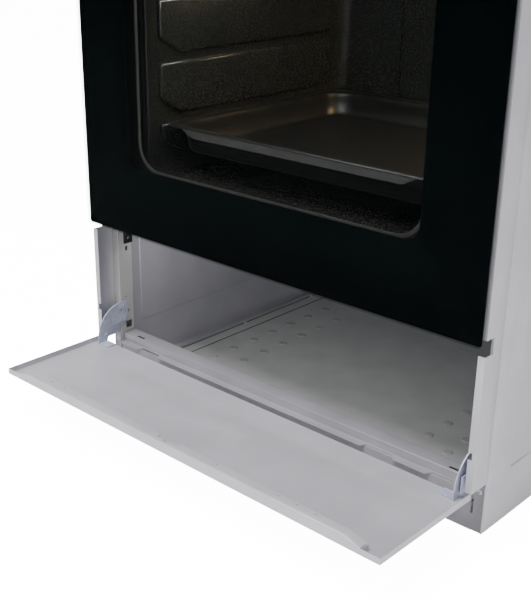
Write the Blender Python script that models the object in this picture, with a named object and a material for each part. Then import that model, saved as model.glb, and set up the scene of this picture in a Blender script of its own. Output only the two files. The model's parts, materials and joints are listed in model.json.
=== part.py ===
"""A freestanding gas range: pressed steel case, oven, four-burner hob and a storage box with a drop-down flap.

Metres, +Z up. The case is drawn with X across it, Y from its front backwards and Z up from the floor.
The empty range_frame then centres the whole range, with its flap down, over the world's origin.
The oven door is shut and the storage flap is down.
"""

import math

import bmesh
import bpy
from mathutils import Matrix, Vector

# Overall sizes
BODY_WIDTH = 0.600
BODY_DEPTH = 0.585
HOB_HEIGHT = 0.850

# Sheet, gaps and clearances
SHEET = 0.001
FIT = 0.0003
SIDE_RUN = 0.0007
SHADOW_GAP = 0.0089
PANEL_GAP = 0.0045

# Case
BASE_Z = 0.003
KICK_HEIGHT = 0.066
KICK_DEPTH = 0.029
FACE_STANDOFF = 0.0092
FRONT_FLANGE = 0.008
REAR_FLANGE = 0.015
BOTTOM_FLANGE = 0.020
RELIEF_LOW = 0.0385
RELIEF_HEIGHT = 0.0085
RELIEF_LEFT = 0.003
NOTCH_BELOW = 0.011
NOTCH_HEIGHT = 0.0178
NOTCH_DEPTH = 0.0144
FLANGE_END_GAP = 0.012
FLANGE_HOLE_RADIUS = 0.0025
FLANGE_HOLE_YS = (0.288, 0.448)
REAR_PANEL_RISE = 0.030
REAR_PANEL_DROP = 0.010
VENT_COUNT = 7
VENT_PITCH = 0.062
VENT_SLOT = (0.044, 0.007)
VENT_DROPS = (0.110, 0.070)

# Storage compartment
FLOOR_RIM = 0.005
FLOOR_LAP = 0.0015
POST_INSET = 0.0120
POST_FRONT = 0.0315
POST_DEPTH = 0.0236
POST_WINDOW = 0.0105
POST_WINDOW_RISE = 0.0050
POST_SLOT = (0.0042, 0.0062)
POST_SLOT_DROP = 0.0348
POST_CUT_SHIFT = 0.0022
POST_HOLE_RADIUS = 0.0014
POST_HOLES = ((0.0100, 0.0521), (0.0108, 0.0380), (0.0139, 0.0305))
RAIL_TOP = 0.0615
RAIL_FRONT = 0.0350
RAIL_DEPTH = 0.0210
RAIL_DROP = 0.0105
RAIL_LIP = 0.0115
RAIL_NARROW_LIP = 0.0030
RAIL_BACK_DROP = 0.020
RAIL_SLOT_X = 0.036
RAIL_SLOT_LENGTH = 0.014
RAIL_SLOT_WIDTH = 0.004
RAIL_SLOT_BACK = 0.003
RAIL_CUTS = ((-1, 0.0442, 0.0722), (1, 0.1068, 0.1377), (1, 0.0206, 0.0492))
RAIL_SLANT = 0.0075
PLINTH_SLOT_LOW = 0.024
CEILING_GAP = 0.004
CEILING_INSET = 0.003
CEILING_RIM = 0.012

# Storage flap
FLAP_HEIGHT = 0.1563
FLAP_SHEET = 0.0008
FLAP_AXIS_Y = 0.0016
FLAP_AXIS_RISE = 0.002
FLAP_SIDE_INSET = 0.002
FLAP_SIDE_RISE = 0.0078
FLAP_LIP_RISE = 0.0138
FLAP_LIP_RETURN = 0.0115
FLAP_LIP_TAPER = (0.0235, 0.0440)
FLAP_HOLE_RADIUS = 0.0012
FLAP_HOLE_SHARES = (0.300, 0.647, 0.745, 0.844)
FLAP_LATCH_HOLE = (0.0040, 0.0020)
FLAP_NOTCH = (0.010, 0.016)
ARM_SHEET = 0.0015
ARM_RADIUS = 0.0436
ARM_FOOT_WIDTH = 0.0196
ARM_FOOT_LENGTH = 0.0140
ARM_HOLE = 0.0035
PIVOT_RADIUS = 0.0024
PIVOT_PLAY = 0.0003
EAR_SHEET = 0.0012
EAR_REACH = 0.0052
EAR_BELOW = 0.0050
EAR_ABOVE = 0.0160
PIN_HEAD = 0.0014

# Oven door
DOOR_SIDE_INSET = 0.0015
GLASS = 0.004
GLASS_CORNER = 0.004
DOOR_AXIS_Y = 0.006
DOOR_AXIS_RISE = 0.0118
DOOR_DEPTH = 0.0268
CHANNEL_INSET = 0.0142
CHANNEL_WIDTH = 0.0116
CHANNEL_RISE = 0.0048
WINDOW_INNER_WIDTH = 0.414
WINDOW_LAP = 0.025
DOOR_TRIM_HEIGHT = 0.008
DOOR_PIN_RADIUS = 0.003
CLAW_THICKNESS = 0.005
CLAW_EYE_RADIUS = 0.0065
CLAW_DEPTH = 0.0215
CLAW_BELOW = 0.0195
CLAW_TONGUE = 0.0026
CLAW_TONGUE_WIDTH = 0.0140
CLAW_TONGUE_DROP = 0.0315
CLAW_HOLE = 0.0022
CLAW_ABOVE = 0.019
CLAW_CLEARANCE = 0.004
WINDOW_MARGIN_SIDE = 0.013
WINDOW_MARGIN_LOW = 0.015
WINDOW_MARGIN_HIGH = 0.010
HANDLE_BELOW = 0.045
HANDLE_REACH = 0.052
HANDLE_RADIUS = 0.009
HANDLE_INSET = 0.060
HANDLE_POST_INSET = 0.026
HANDLE_POST_RADIUS = 0.007

# Oven
CAVITY_SIDE_GAP = 0.080
CAVITY_REAR_GAP = 0.165
CAVITY_FLOOR_RISE = 0.0690
CAVITY_ROOF_DROP = 0.042
CAVITY_FLANGE = 0.010
PAD_PITCH = 0.0761
PAD_HEIGHT = 0.0671
PAD_DEPTH = 0.006
PAD_SLOPE = 0.004
PAD_START = 0.018
PAD_COUNT = 5
FIRST_SHELF = 0.0654
BACK_PANEL_HALF = 0.105
BACK_PANEL_DEPTH = 0.007
MOUTH_MARGIN = 0.0025
PAD_MARGIN = 0.006
BACK_PANEL_LOW = 0.050
BACK_PANEL_HIGH = 0.060
SEAL_CORNER = 0.030
FLAME_SLOT_X = 0.150
FLAME_SLOT_WIDTH = 0.030
FLAME_SLOT_GAPS = (0.090, 0.0775)
FLOOR_PLATE_WIDTH = 0.250
FLOOR_PLATE_GAP = 0.052
BURNER_GAP = 0.070
FLOOR_PLATE_RIM = 0.008
FLOOR_PLATE_FLARE = 0.005
FLOOR_PLATE_CORNER = 0.020
TRAY_DEPTH = 0.034
TRAY_FLANGE = 0.012
TRAY_CORNER = 0.040
TRAY_FRONT_GAP = 0.014
TRAY_SIDE_GAP = 0.0015
TRAY_BACK_GAP = 0.012
TRAY_DRAFT = 0.008
TRAY_FLANGE_CORNER = 0.010
TRAY_BEAD = 0.004
RACK_LEVEL = 3
RACK_WIRE = 0.005
RACK_WIRES = 13
RACK_SIDE_GAP = 0.002
RACK_BACK_GAP = 0.020
BURNER_TUBE = 0.010
BURNER_BEND = 0.040
GRILL_TUBE = 0.006
GRILL_DROP = 0.014
GRILL_GAP = 0.060
GRILL_BEND = 0.035
LAMP_RADIUS = 0.022
LAMP_X = 0.150
LAMP_DROP = 0.060
LAMP_BACK = 0.008
LAMP_COLLAR = 0.002
LAMP_DOME = 0.012

# Control panel and gas train
PANEL_HEIGHT = 0.0935
PANEL_RETURN = 0.0275
KNOB_PITCH = 0.092
KNOB_RADIUS = 0.022
KNOB_DEPTH = 0.028
KNOB_STANDOFF = 0.0045
KNOB_GRIP = 0.006
KNOB_GRIP_HALF = 0.004
KNOB_GRIP_INSET = 0.0065
KNOB_SKIRT = (0.004, 0.008)
STEM_RADIUS = 0.003
STEM_GRIP = 0.012
STEM_TRAVEL = 0.003
STEM_HOLE_PLAY = 0.002
TAP_SIZE = (0.024, 0.032, 0.030)
TAP_BACKSET = 0.026
PIPE_RADIUS = 0.007
PIPE_BEND = 0.030
PIPE_IN_TAP = 0.006
PIPE_END_GAP = 0.008
PIPE_START = 0.025
PIPE_SIDE_INSET = 0.030
BUTTON_RADIUS = 0.006
BUTTON_PROUD = 0.004
BUTTON_TRAVEL = 0.002
BUTTON_BACK = 0.012
BUTTON_COLLAR = 0.002
BUTTON_EDGE = 0.001

# Hob
SKIRT_HEIGHT = 0.035
HOB_RIM = 0.020
HOB_WELL = 0.011
HOB_CORNER = 0.010
HOB_EDGE = 0.004
HOB_WELL_SLOPE = 0.006
BURNER_RADII = (0.050, 0.038, 0.038, 0.028)
BURNER_SIDE_SHARE = 0.145 / 0.600
BURNER_FRONT = 0.150
BURNER_REAR = 0.155
BURNER_BODY = 0.017
BURNER_NECK = 0.020
BURNER_BORE = 0.005
BURNER_HOLE_INSET = 0.006
BURNER_NECK_INSET = 0.012
BURNER_SEAT_INSET = 0.0065
BURNER_FLARE = 0.004
BURNER_FLARE_HEIGHTS = (0.003, 0.005)
CAP_THICKNESS = 0.007
CAP_LAP = 0.002
CAP_EDGE = 0.003
GRATE_BAR = 0.007
GRATE_GAP = 0.006
GRATE_MARGIN = 0.030
GRATE_END_MARGIN = 0.035
GRATE_RISE = 0.010
GRATE_THICKNESS = 0.009
GRATE_RIB = 0.042
FINGER_REACH = 0.022
LEG_SIZE = 0.0055

# Feet
FOOT_RADIUS = 0.0085
FOOT_EDGE = 0.0008
FOOT_STUD = 0.0035
FOOT_STUD_RISE = 0.004
FOOT_FRONT = 0.080
FOOT_REAR = 0.060

# Levels and planes that the sizes above settle
CASE_X = BODY_WIDTH / 2 - SHEET / 2
FLANGE_Y = SHEET / 2
BACK_Y = BODY_DEPTH - SHEET / 2
CASE_TOP = HOB_HEIGHT - SKIRT_HEIGHT - FIT
PANEL_BOTTOM = CASE_TOP - PANEL_HEIGHT
DOOR_TOP = PANEL_BOTTOM - PANEL_GAP
FLAP_TOP = KICK_HEIGHT + FLAP_HEIGHT
DOOR_BOTTOM = FLAP_TOP + SHADOW_GAP
NOTCH_LOW = DOOR_BOTTOM - NOTCH_BELOW
FLAP_AXIS_Z = KICK_HEIGHT + FLAP_AXIS_RISE
FLAP_SKIN_Z = FLAP_AXIS_Z - FLAP_AXIS_Y - FACE_STANDOFF
FLAP_BACK_Y = FLAP_AXIS_Y + FLAP_AXIS_RISE
FLAP_FRONT_Y = FLAP_AXIS_Y - (FLAP_TOP - FLAP_AXIS_Z)
FLAP_X = BODY_WIDTH / 2 - FLAP_SIDE_INSET - FLAP_SHEET / 2
POST_X = BODY_WIDTH / 2 - POST_INSET
POST_BACK = POST_FRONT + POST_DEPTH
ARM_X = POST_X - SHEET / 2 - SIDE_RUN - ARM_SHEET / 2
RAIL_X = ARM_X - ARM_SHEET / 2 - SIDE_RUN
FLOOR_X = CASE_X - BOTTOM_FLANGE + FLOOR_LAP
DOOR_AXIS_Z = DOOR_BOTTOM + DOOR_AXIS_RISE
DOOR_HALF = BODY_WIDTH / 2 - DOOR_SIDE_INSET
FACE_Y = -FACE_STANDOFF
GLASS_BACK = FACE_Y + GLASS
INNER_FRAME_Y = FACE_Y + DOOR_DEPTH - SHEET
CHANNEL_X = BODY_WIDTH / 2 - CHANNEL_INSET - SHEET / 2
CHANNEL_INNER_X = CHANNEL_X - CHANNEL_WIDTH
DOOR_FRAME_BOTTOM = DOOR_BOTTOM + CHANNEL_RISE
CLAW_X = (CHANNEL_X + CHANNEL_INNER_X) / 2
CLAW_CUT_X = CHANNEL_INNER_X - SHEET
CLAW_CUT_TOP = DOOR_AXIS_Z + CLAW_EYE_RADIUS + CLAW_CLEARANCE
FRAME_Y = POST_FRONT + SHEET
MOUTH_Y = FRAME_Y + SHEET + FIT
CAVITY_X = BODY_WIDTH / 2 - CAVITY_SIDE_GAP
CAVITY_BACK = BODY_DEPTH - CAVITY_REAR_GAP
CAVITY_FLOOR = DOOR_BOTTOM + CAVITY_FLOOR_RISE
CAVITY_ROOF = DOOR_TOP - CAVITY_ROOF_DROP
FRAME_X = POST_X - SHEET / 2 - FIT
SEAL_RADIUS = (FRAME_Y - SHEET / 2 - FIT - INNER_FRAME_Y - SHEET / 2 - FIT) / 2
SEAL_Y = FRAME_Y - SHEET / 2 - FIT - SEAL_RADIUS
SEAL_X = CAVITY_X + MOUTH_MARGIN + SEAL_RADIUS
KNOB_Z = (PANEL_BOTTOM + CASE_TOP) / 2
WELL_Z = HOB_HEIGHT - SHEET / 2 - HOB_WELL
WELL_TOP = WELL_Z + SHEET / 2 + FIT
HOB_Y = (FACE_Y + BODY_DEPTH) / 2
BURNER_TOP = WELL_TOP + BURNER_BODY
GRATE_BOTTOM = BURNER_TOP + FIT + CAP_THICKNESS + GRATE_RISE


def clear_scene():
    for obj in list(bpy.data.objects):
        bpy.data.objects.remove(obj, do_unlink=True)


def finish(name, colour, metallic, roughness):
    """A material from an sRGB hex colour."""
    channels = [int(colour[i : i + 2], 16) / 255 for i in (0, 2, 4)]
    linear = [c / 12.92 if c <= 0.04045 else ((c + 0.055) / 1.055) ** 2.4 for c in channels]
    made = bpy.data.materials.new(name)
    made.use_nodes = True
    shader = made.node_tree.nodes["Principled BSDF"]
    shader.inputs["Base Color"].default_value = (*linear, 1)
    shader.inputs["Metallic"].default_value = metallic
    shader.inputs["Roughness"].default_value = roughness
    return made


def finishes():
    return {
        "silver_paint": finish("silver_paint", "B4B4B8", 0.2, 0.45),
        "galvanised": finish("galvanised", "A9AEC0", 0.9, 0.35),
        "black_glass": finish("black_glass", "0A1010", 0.0, 0.05),
        "clear_glass": finish("clear_glass", "303838", 0.0, 0.05),
        "enamel": finish("enamel", "1A1A18", 0.0, 0.25),
        "grate_enamel": finish("grate_enamel", "161616", 0.0, 0.5),
        "rubber": finish("rubber", "202022", 0.0, 0.7),
        "black_steel": finish("black_steel", "1C1C1E", 0.6, 0.45),
        "chrome": finish("chrome", "C8C8CA", 1.0, 0.15),
        "aluminium": finish("aluminium", "B0B0B2", 1.0, 0.35),
        "brass": finish("brass", "B08D4A", 1.0, 0.35),
        "knob_plastic": finish("knob_plastic", "3A3B3D", 0.0, 0.4),
        "lamp_glass": finish("lamp_glass", "E8D9B8", 0.0, 0.1),
    }


def node(name, bm, colour, parent, pivot=(0, 0, 0)):
    """An object from a bmesh drawn in case coordinates, with its origin at pivot."""
    mesh = bpy.data.meshes.new(name)
    bm.to_mesh(mesh)
    bm.free()
    mesh.transform(Matrix.Translation(-Vector(pivot)))
    mesh.materials.append(colour)
    obj = bpy.data.objects.new(name, mesh)
    bpy.context.scene.collection.objects.link(obj)
    obj.parent = parent
    obj.location = Vector(pivot) - (Vector(parent["at"]) if "at" in parent else Vector())
    return obj


def axis_empty(name, at, parent):
    """An empty on a joint's axis, which the pieces that turn about it are parented to."""
    empty = bpy.data.objects.new(name, None)
    bpy.context.scene.collection.objects.link(empty)
    empty.parent = parent
    empty.location = at
    empty["at"] = at
    return empty


def pairs(values):
    return list(zip(values, values[1:]))


def grid(bm, us, vs, at, keep=None):
    """Faces over the cells of us by vs, with at(u, v) placing each corner. keep(u, v) says where sheet is."""
    for u0, u1 in pairs(us):
        for v0, v1 in pairs(vs):
            if keep is None or keep((u0 + u1) / 2, (v0 + v1) / 2):
                corners = ((u0, v0), (u1, v0), (u1, v1), (u0, v1))
                bm.faces.new([bm.verts.new(at(u, v)) for u, v in corners])


def rounded(half_u, half_v, radius, steps=3):
    """A rectangle's outline with round corners, anticlockwise, about its middle."""
    points = []
    for quarter in range(4):
        su = (1, -1, -1, 1)[quarter]
        sv = (1, 1, -1, -1)[quarter]
        for step in range(steps + 1):
            angle = math.radians(90 * (quarter + step / steps))
            points.append((
                su * (half_u - radius) + radius * math.cos(angle),
                sv * (half_v - radius) + radius * math.sin(angle),
            ))
    return points


def rings(bm, outlines, cap_first=False, cap_last=False):
    """A skin over outlines that have the same number of points."""
    loops = [[bm.verts.new(point) for point in outline] for outline in outlines]
    for lower, upper in pairs(loops):
        for i in range(len(lower)):
            j = (i + 1) % len(lower)
            bm.faces.new((lower[i], lower[j], upper[j], upper[i]))
    if cap_first:
        bm.faces.new(loops[0][::-1])
    if cap_last:
        bm.faces.new(loops[-1])


def weld(bm):
    bmesh.ops.remove_doubles(bm, verts=bm.verts, dist=1e-6)
    bmesh.ops.recalc_face_normals(bm, faces=bm.faces)


def sheet(name, draw, colour, parent, thickness=SHEET, pivot=(0, 0, 0)):
    """Sheet metal: draw(bm) makes the middle surface, and the sheet's thickness lies half on each side of it."""
    bm = bmesh.new()
    draw(bm)
    weld(bm)
    obj = node(name, bm, colour, parent, pivot)
    solid = obj.modifiers.new("thickness", "SOLIDIFY")
    solid.thickness = thickness
    solid.offset = 0
    solid.use_even_offset = True
    return obj


def box(bm, low, high):
    """A rectangular block between two corners."""
    size = Vector(high) - Vector(low)
    middle = (Vector(high) + Vector(low)) / 2
    place = Matrix.Translation(middle) @ Matrix.Diagonal((*size, 1))
    bmesh.ops.create_cube(bm, size=1, matrix=place)


def block(name, low, high, colour, parent, pivot=(0, 0, 0)):
    bm = bmesh.new()
    box(bm, low, high)
    return node(name, bm, colour, parent, pivot)


def prism(bm, outline, axis, low, high):
    """An outline drawn across an axis and extruded along it. axis is 0 for X, 1 for Y and 2 for Z."""
    def at(point, level):
        full = list(point)
        full.insert(axis, level)
        return full

    rings(bm, [[at(p, low) for p in outline], [at(p, high) for p in outline]], True, True)
    bmesh.ops.recalc_face_normals(bm, faces=bm.faces)


def circle(middle, radius, sides=16, start=0.0):
    """Points round a circle in a plane."""
    turns = [start + 2 * math.pi * i / sides for i in range(sides)]
    return [(middle[0] + radius * math.cos(t), middle[1] + radius * math.sin(t)) for t in turns]


def rod(bm, axis, middle, radius, low, high, sides=16):
    """A round rod along an axis, with its middle given in the other two coordinates."""
    prism(bm, circle(middle, radius, sides), axis, low, high)


def turn(bm, profile, steps, place):
    """A solid turned from (radius, height) points about its own Z, then put in place."""
    points = [bm.verts.new((radius, 0, height)) for radius, height in profile]
    closed = profile[0][0] > 0
    ends = pairs(points) + ([(points[-1], points[0])] if closed else [])
    edges = [bm.edges.new(ends_of) for ends_of in ends]
    bmesh.ops.spin(
        bm, geom=points + edges, cent=(0, 0, 0), axis=(0, 0, 1), angle=2 * math.pi, steps=steps, use_merge=True
    )
    weld(bm)
    bmesh.ops.transform(bm, matrix=place, verts=bm.verts)


def turned(name, profile, place, colour, parent, steps=24, pivot=(0, 0, 0)):
    bm = bmesh.new()
    turn(bm, profile, steps, place)
    obj = node(name, bm, colour, parent, pivot)
    shade(obj)
    return obj


def shade(obj):
    obj.data.shade_smooth()
    obj.data.set_sharp_from_angle(angle=math.radians(35))


def cut_or_join(obj, draw, operation):
    """Takes draw(bm)'s solids away from an object, or joins them to it, in case coordinates."""
    bm = bmesh.new()
    draw(bm)
    mesh = bpy.data.meshes.new("tool")
    bm.to_mesh(mesh)
    bm.free()
    tool = bpy.data.objects.new("tool", mesh)
    bpy.context.scene.collection.objects.link(tool)
    bpy.context.view_layer.update()
    frame = obj
    while frame.parent is not None:
        frame = frame.parent
    tool.matrix_world = frame.matrix_world
    boolean = obj.modifiers.new(operation.lower(), "BOOLEAN")
    boolean.operation = operation
    boolean.solver = "EXACT"
    boolean.object = tool
    graph = bpy.context.evaluated_depsgraph_get()
    made = bpy.data.meshes.new_from_object(obj.evaluated_get(graph))
    obj.modifiers.clear()
    obj.data = made
    bpy.data.objects.remove(tool, do_unlink=True)


def cut(obj, draw):
    cut_or_join(obj, draw, "DIFFERENCE")


def join(obj, draw):
    cut_or_join(obj, draw, "UNION")


def tube(name, points, radius, colour, parent, resolution=2, cyclic=False, pivot=(0, 0, 0)):
    """A round tube or rod along a line of points."""
    curve = bpy.data.curves.new(name, "CURVE")
    curve.dimensions = "3D"
    curve.bevel_depth = radius
    curve.bevel_resolution = resolution
    curve.use_fill_caps = not cyclic
    line = curve.splines.new("POLY")
    line.points.add(len(points) - 1)
    for spot, point in zip(line.points, points):
        spot.co = (*(Vector(point) - Vector(pivot)), 1)
    line.use_cyclic_u = cyclic
    curve.materials.append(colour)
    obj = bpy.data.objects.new(name, curve)
    bpy.context.scene.collection.objects.link(obj)
    obj.parent = parent
    obj.location = Vector(pivot) - (Vector(parent["at"]) if "at" in parent else Vector())
    return obj


def corner_path(points, radius, steps=3):
    """A line of points whose inner corners are rounded."""
    path = [Vector(points[0])]
    for before, at, after in zip(points, points[1:], points[2:]):
        at = Vector(at)
        to_before = (Vector(before) - at).normalized()
        to_after = (Vector(after) - at).normalized()
        for step in range(steps + 1):
            t = step / steps
            path.append(at + to_before * radius * (1 - t) ** 2 + to_after * radius * t**2)
    return path + [Vector(points[-1])]


# Case ------------------------------------------------------------------------------------------------


def side_panel(side, name, look, parent):
    """One outer side, with its front, rear and bottom edges turned inwards and the toe space cut away."""
    relief_low = KICK_HEIGHT + RELIEF_LOW
    relief_high = relief_low + RELIEF_HEIGHT
    notch_high = NOTCH_LOW + NOTCH_HEIGHT
    upper = [KICK_HEIGHT, relief_low, relief_high, NOTCH_LOW, notch_high, CASE_TOP]
    levels = [BASE_Z + SHEET / 2] + upper
    flange_back = BACK_Y - REAR_FLANGE
    flange_front = KICK_DEPTH + FLANGE_END_GAP
    depths = [FLANGE_Y, NOTCH_DEPTH, KICK_DEPTH, flange_front, flange_back, BACK_Y]

    def in_notch(z):
        return NOTCH_LOW < z < notch_high

    def wall(y, z):
        return not (y < KICK_DEPTH and z < KICK_HEIGHT) and not (y < NOTCH_DEPTH and in_notch(z))

    def front(u, z):
        return not in_notch(z) and not (u > RELIEF_LEFT and relief_low < z < relief_high)

    def draw(bm):
        grid(bm, depths, levels, lambda y, z: (side * CASE_X, y, z), wall)
        inward = [0, RELIEF_LEFT, FRONT_FLANGE - SHEET / 2]
        grid(bm, inward, upper, lambda u, z: (side * (CASE_X - u), FLANGE_Y, z), front)
        grid(bm, [0, REAR_FLANGE], levels[1:], lambda u, z: (side * (CASE_X - u), BACK_Y, z))
        bottom = [flange_front, flange_back]
        grid(bm, [0, BOTTOM_FLANGE], bottom, lambda u, y: (side * (CASE_X - u), y, BASE_Z + SHEET / 2))

    def holes(bm):
        for y in FLANGE_HOLE_YS:
            rod(bm, 2, (side * (CASE_X - BOTTOM_FLANGE * 0.75), y), FLANGE_HOLE_RADIUS, 0, 2 * BASE_Z, 8)
        for y in foot_ys():
            rod(bm, 2, (side * foot_x(), y), FOOT_STUD + FIT * 2, 0, 2 * BASE_Z, 12)

    obj = sheet(name, draw, look["silver_paint"], parent)
    cut(obj, holes)
    return obj


def foot_x():
    return (CASE_X + FLOOR_X) / 2


def foot_ys():
    return (FOOT_FRONT, BODY_DEPTH - FOOT_REAR)


def rear_panel(look, parent):
    """Back sheet inside the side panels' rear flanges, with two rows of vent slots. The gas inlet passes above it."""
    half = CASE_X - SHEET / 2 - 2 * FIT
    xs = [-half]
    for i in range(VENT_COUNT):
        left = (i - (VENT_COUNT - 1) / 2) * VENT_PITCH - VENT_SLOT[0] / 2
        xs += [left, left + VENT_SLOT[0]]
    xs.append(half)
    low = BASE_Z + REAR_PANEL_RISE
    top = KNOB_Z - PIPE_RADIUS - REAR_PANEL_DROP
    rows = [top - drop for drop in VENT_DROPS]
    zs = [low] + [edge for row in rows for edge in (row - VENT_SLOT[1], row)] + [top]
    slots = set(range(1, 2 * VENT_COUNT, 2))
    y = BACK_Y - SHEET - FIT

    def keep(x, z):
        column = sum(x > edge for edge in xs) - 1
        row = sum(z > edge for edge in zs) - 1
        return not (column in slots and row in (1, 3))

    return sheet("rear_panel", lambda bm: grid(bm, xs, zs, lambda x, z: (x, y, z), keep), look["galvanised"], parent)


def storage_floor(look, parent):
    """Floor tray of the compartment, with its side and rear edges turned up."""
    z = BASE_Z + 1.5 * SHEET + FIT
    front = RAIL_FRONT + RAIL_DEPTH + SHEET
    back = BACK_Y - REAR_FLANGE
    rim = [z, z + FLOOR_RIM]

    def draw(bm):
        grid(bm, [-FLOOR_X, FLOOR_X], [front, back], lambda x, y: (x, y, z))
        grid(bm, [front, back], rim, lambda y, h: (-FLOOR_X, y, h))
        grid(bm, [front, back], rim, lambda y, h: (FLOOR_X, y, h))
        grid(bm, [-FLOOR_X, FLOOR_X], rim, lambda x, h: (x, back, h))

    return sheet("storage_floor", draw, look["silver_paint"], parent)


def plinth_panel(look, parent):
    """Toe-space front over the posts, with a foot turned back under it and a slot at each end for the flap's arm."""
    y = POST_FRONT - SHEET - FIT
    low = BASE_Z + SHEET / 2
    top = RAIL_TOP - RAIL_DROP - SHEET - FIT
    ear_top = FLAP_AXIS_Z - EAR_BELOW - SHEET
    foot_back = KICK_DEPTH + FLANGE_END_GAP - FIT
    end = CASE_X - SHEET / 2 - SIDE_RUN
    slot_out = ARM_X + ARM_SHEET / 2 + SIDE_RUN
    xs = [-end, -slot_out, -RAIL_X, RAIL_X, slot_out, end]

    def keep(x, z):
        in_slot = RAIL_X < abs(x) < slot_out and z > PLINTH_SLOT_LOW
        over_rail = abs(x) < RAIL_X and z > top
        return not in_slot and not over_rail

    def draw(bm):
        grid(bm, xs, [low, PLINTH_SLOT_LOW, top, ear_top], lambda x, z: (x, y, z), keep)
        grid(bm, [-RAIL_X, RAIL_X], [y, foot_back], lambda x, v: (x, v, low))

    return sheet("plinth_panel", draw, look["silver_paint"], parent)


def front_rail(look, parent):
    """Folded rail over the toe space: a lip with cut-back stretches, a face, a top with end slots, a back."""
    top = RAIL_TOP - SHEET / 2
    low = RAIL_TOP - RAIL_DROP
    back = RAIL_FRONT + RAIL_DEPTH - SHEET
    slot_out = RAIL_X - RAIL_SLOT_X + RAIL_SLOT_LENGTH
    slot_in = RAIL_X - RAIL_SLOT_X
    cuts = [sorted(side * (RAIL_X - from_end) for from_end in stretch) for side, *stretch in RAIL_CUTS]
    half = [slot_in, slot_out, RAIL_X]
    xs = sorted([-x for x in half] + half + [x for cut_back in cuts for x in cut_back])
    slot_y = RAIL_FRONT + RAIL_SLOT_BACK
    ys = [RAIL_FRONT, slot_y, slot_y + RAIL_SLOT_WIDTH, back]
    lips = [RAIL_FRONT - RAIL_LIP, RAIL_FRONT - RAIL_NARROW_LIP, RAIL_FRONT]

    def top_keep(x, y):
        return not (slot_in < abs(x) < slot_out and slot_y < y < slot_y + RAIL_SLOT_WIDTH)

    def lip_keep(x, y):
        return y > RAIL_FRONT - RAIL_NARROW_LIP or not any(start < x < end for start, end in cuts)

    def lip_at(x, y):
        slant = RAIL_SLANT * (RAIL_FRONT - y) / RAIL_LIP
        for start, end in cuts:
            if x in (start, end):
                return (x + (slant if x == end else -slant), y, low)
        return (x, y, low)

    def draw(bm):
        grid(bm, xs, ys, lambda x, y: (x, y, top), top_keep)
        grid(bm, xs, [low, top], lambda x, z: (x, RAIL_FRONT, z))
        grid(bm, xs, lips, lip_at, lip_keep)
        grid(bm, xs, [top - RAIL_BACK_DROP, top], lambda x, z: (x, back, z))

    return sheet("front_rail", draw, look["silver_paint"], parent)


def corner_post(side, name, look, parent):
    """Upright channel beside the compartment and the oven mouth, open towards the side panel."""
    low = BASE_Z + SHEET + FIT
    window_z = (RAIL_TOP + POST_WINDOW_RISE, RAIL_TOP + POST_WINDOW_RISE + POST_WINDOW)
    slot_z = (FLAP_TOP - POST_SLOT_DROP - POST_SLOT[1], FLAP_TOP - POST_SLOT_DROP)
    zs = [low, *window_z, *slot_z, CASE_TOP - PANEL_GAP]
    middle = POST_FRONT + POST_DEPTH / 2 + POST_CUT_SHIFT
    slot = (middle - POST_SLOT[0] / 2, middle + POST_SLOT[0] / 2)
    window = (middle - POST_WINDOW / 2, middle + POST_WINDOW / 2)
    ys = sorted({POST_FRONT, *slot, *window, POST_BACK})
    out = CASE_X - SHEET / 2 - SIDE_RUN - POST_X

    def web(y, z):
        in_window = window[0] < y < window[1] and window_z[0] < z < window_z[1]
        in_slot = slot[0] < y < slot[1] and slot_z[0] < z < slot_z[1]
        return not in_window and not in_slot

    def holes(bm):
        for back, rise in POST_HOLES:
            spot = (POST_FRONT + back, RAIL_TOP + rise)
            rod(bm, 0, spot, POST_HOLE_RADIUS, *sorted((side * (POST_X - SHEET), side * (POST_X + SHEET))), 8)

    def draw(bm):
        grid(bm, ys, zs, lambda y, z: (side * POST_X, y, z), web)
        for y in (POST_FRONT, POST_BACK):
            grid(bm, [0, out], zs, lambda u, z, y=y: (side * (POST_X + u), y, z))

    obj = sheet(name, draw, look["silver_paint"], parent)
    cut(obj, holes)
    return obj


def storage_ceiling(look, parent):
    """Heat shield between the compartment and the oven."""
    z = FLAP_TOP + CEILING_GAP
    front = POST_BACK + CEILING_INSET
    back = BACK_Y - REAR_FLANGE
    xs = [-FRAME_X, FRAME_X]

    def draw(bm):
        grid(bm, xs, [front, back], lambda x, y: (x, y, z))
        for y in (front, back):
            grid(bm, xs, [z, z + CEILING_RIM], lambda x, h, y=y: (x, y, h))

    return sheet("storage_ceiling", draw, look["galvanised"], parent)


# Oven ------------------------------------------------------------------------------------------------


def shelf_z(level):
    """Underside of a tray or rack flange at a shelf level, counted from the lowest."""
    return CAVITY_FLOOR + FIRST_SHELF + level * PAD_PITCH


def pad_levels():
    """(low, high) of each pressed pad between the shelf grooves."""
    found = []
    for i in range(PAD_COUNT):
        high = shelf_z(i) - FIT - SHEET / 2
        low = high - PAD_HEIGHT
        found.append((max(low, CAVITY_FLOOR + PAD_MARGIN), min(high, CAVITY_ROOF - PAD_MARGIN)))
    return [(low, high) for low, high in found if high - low > 4 * PAD_SLOPE]


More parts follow.
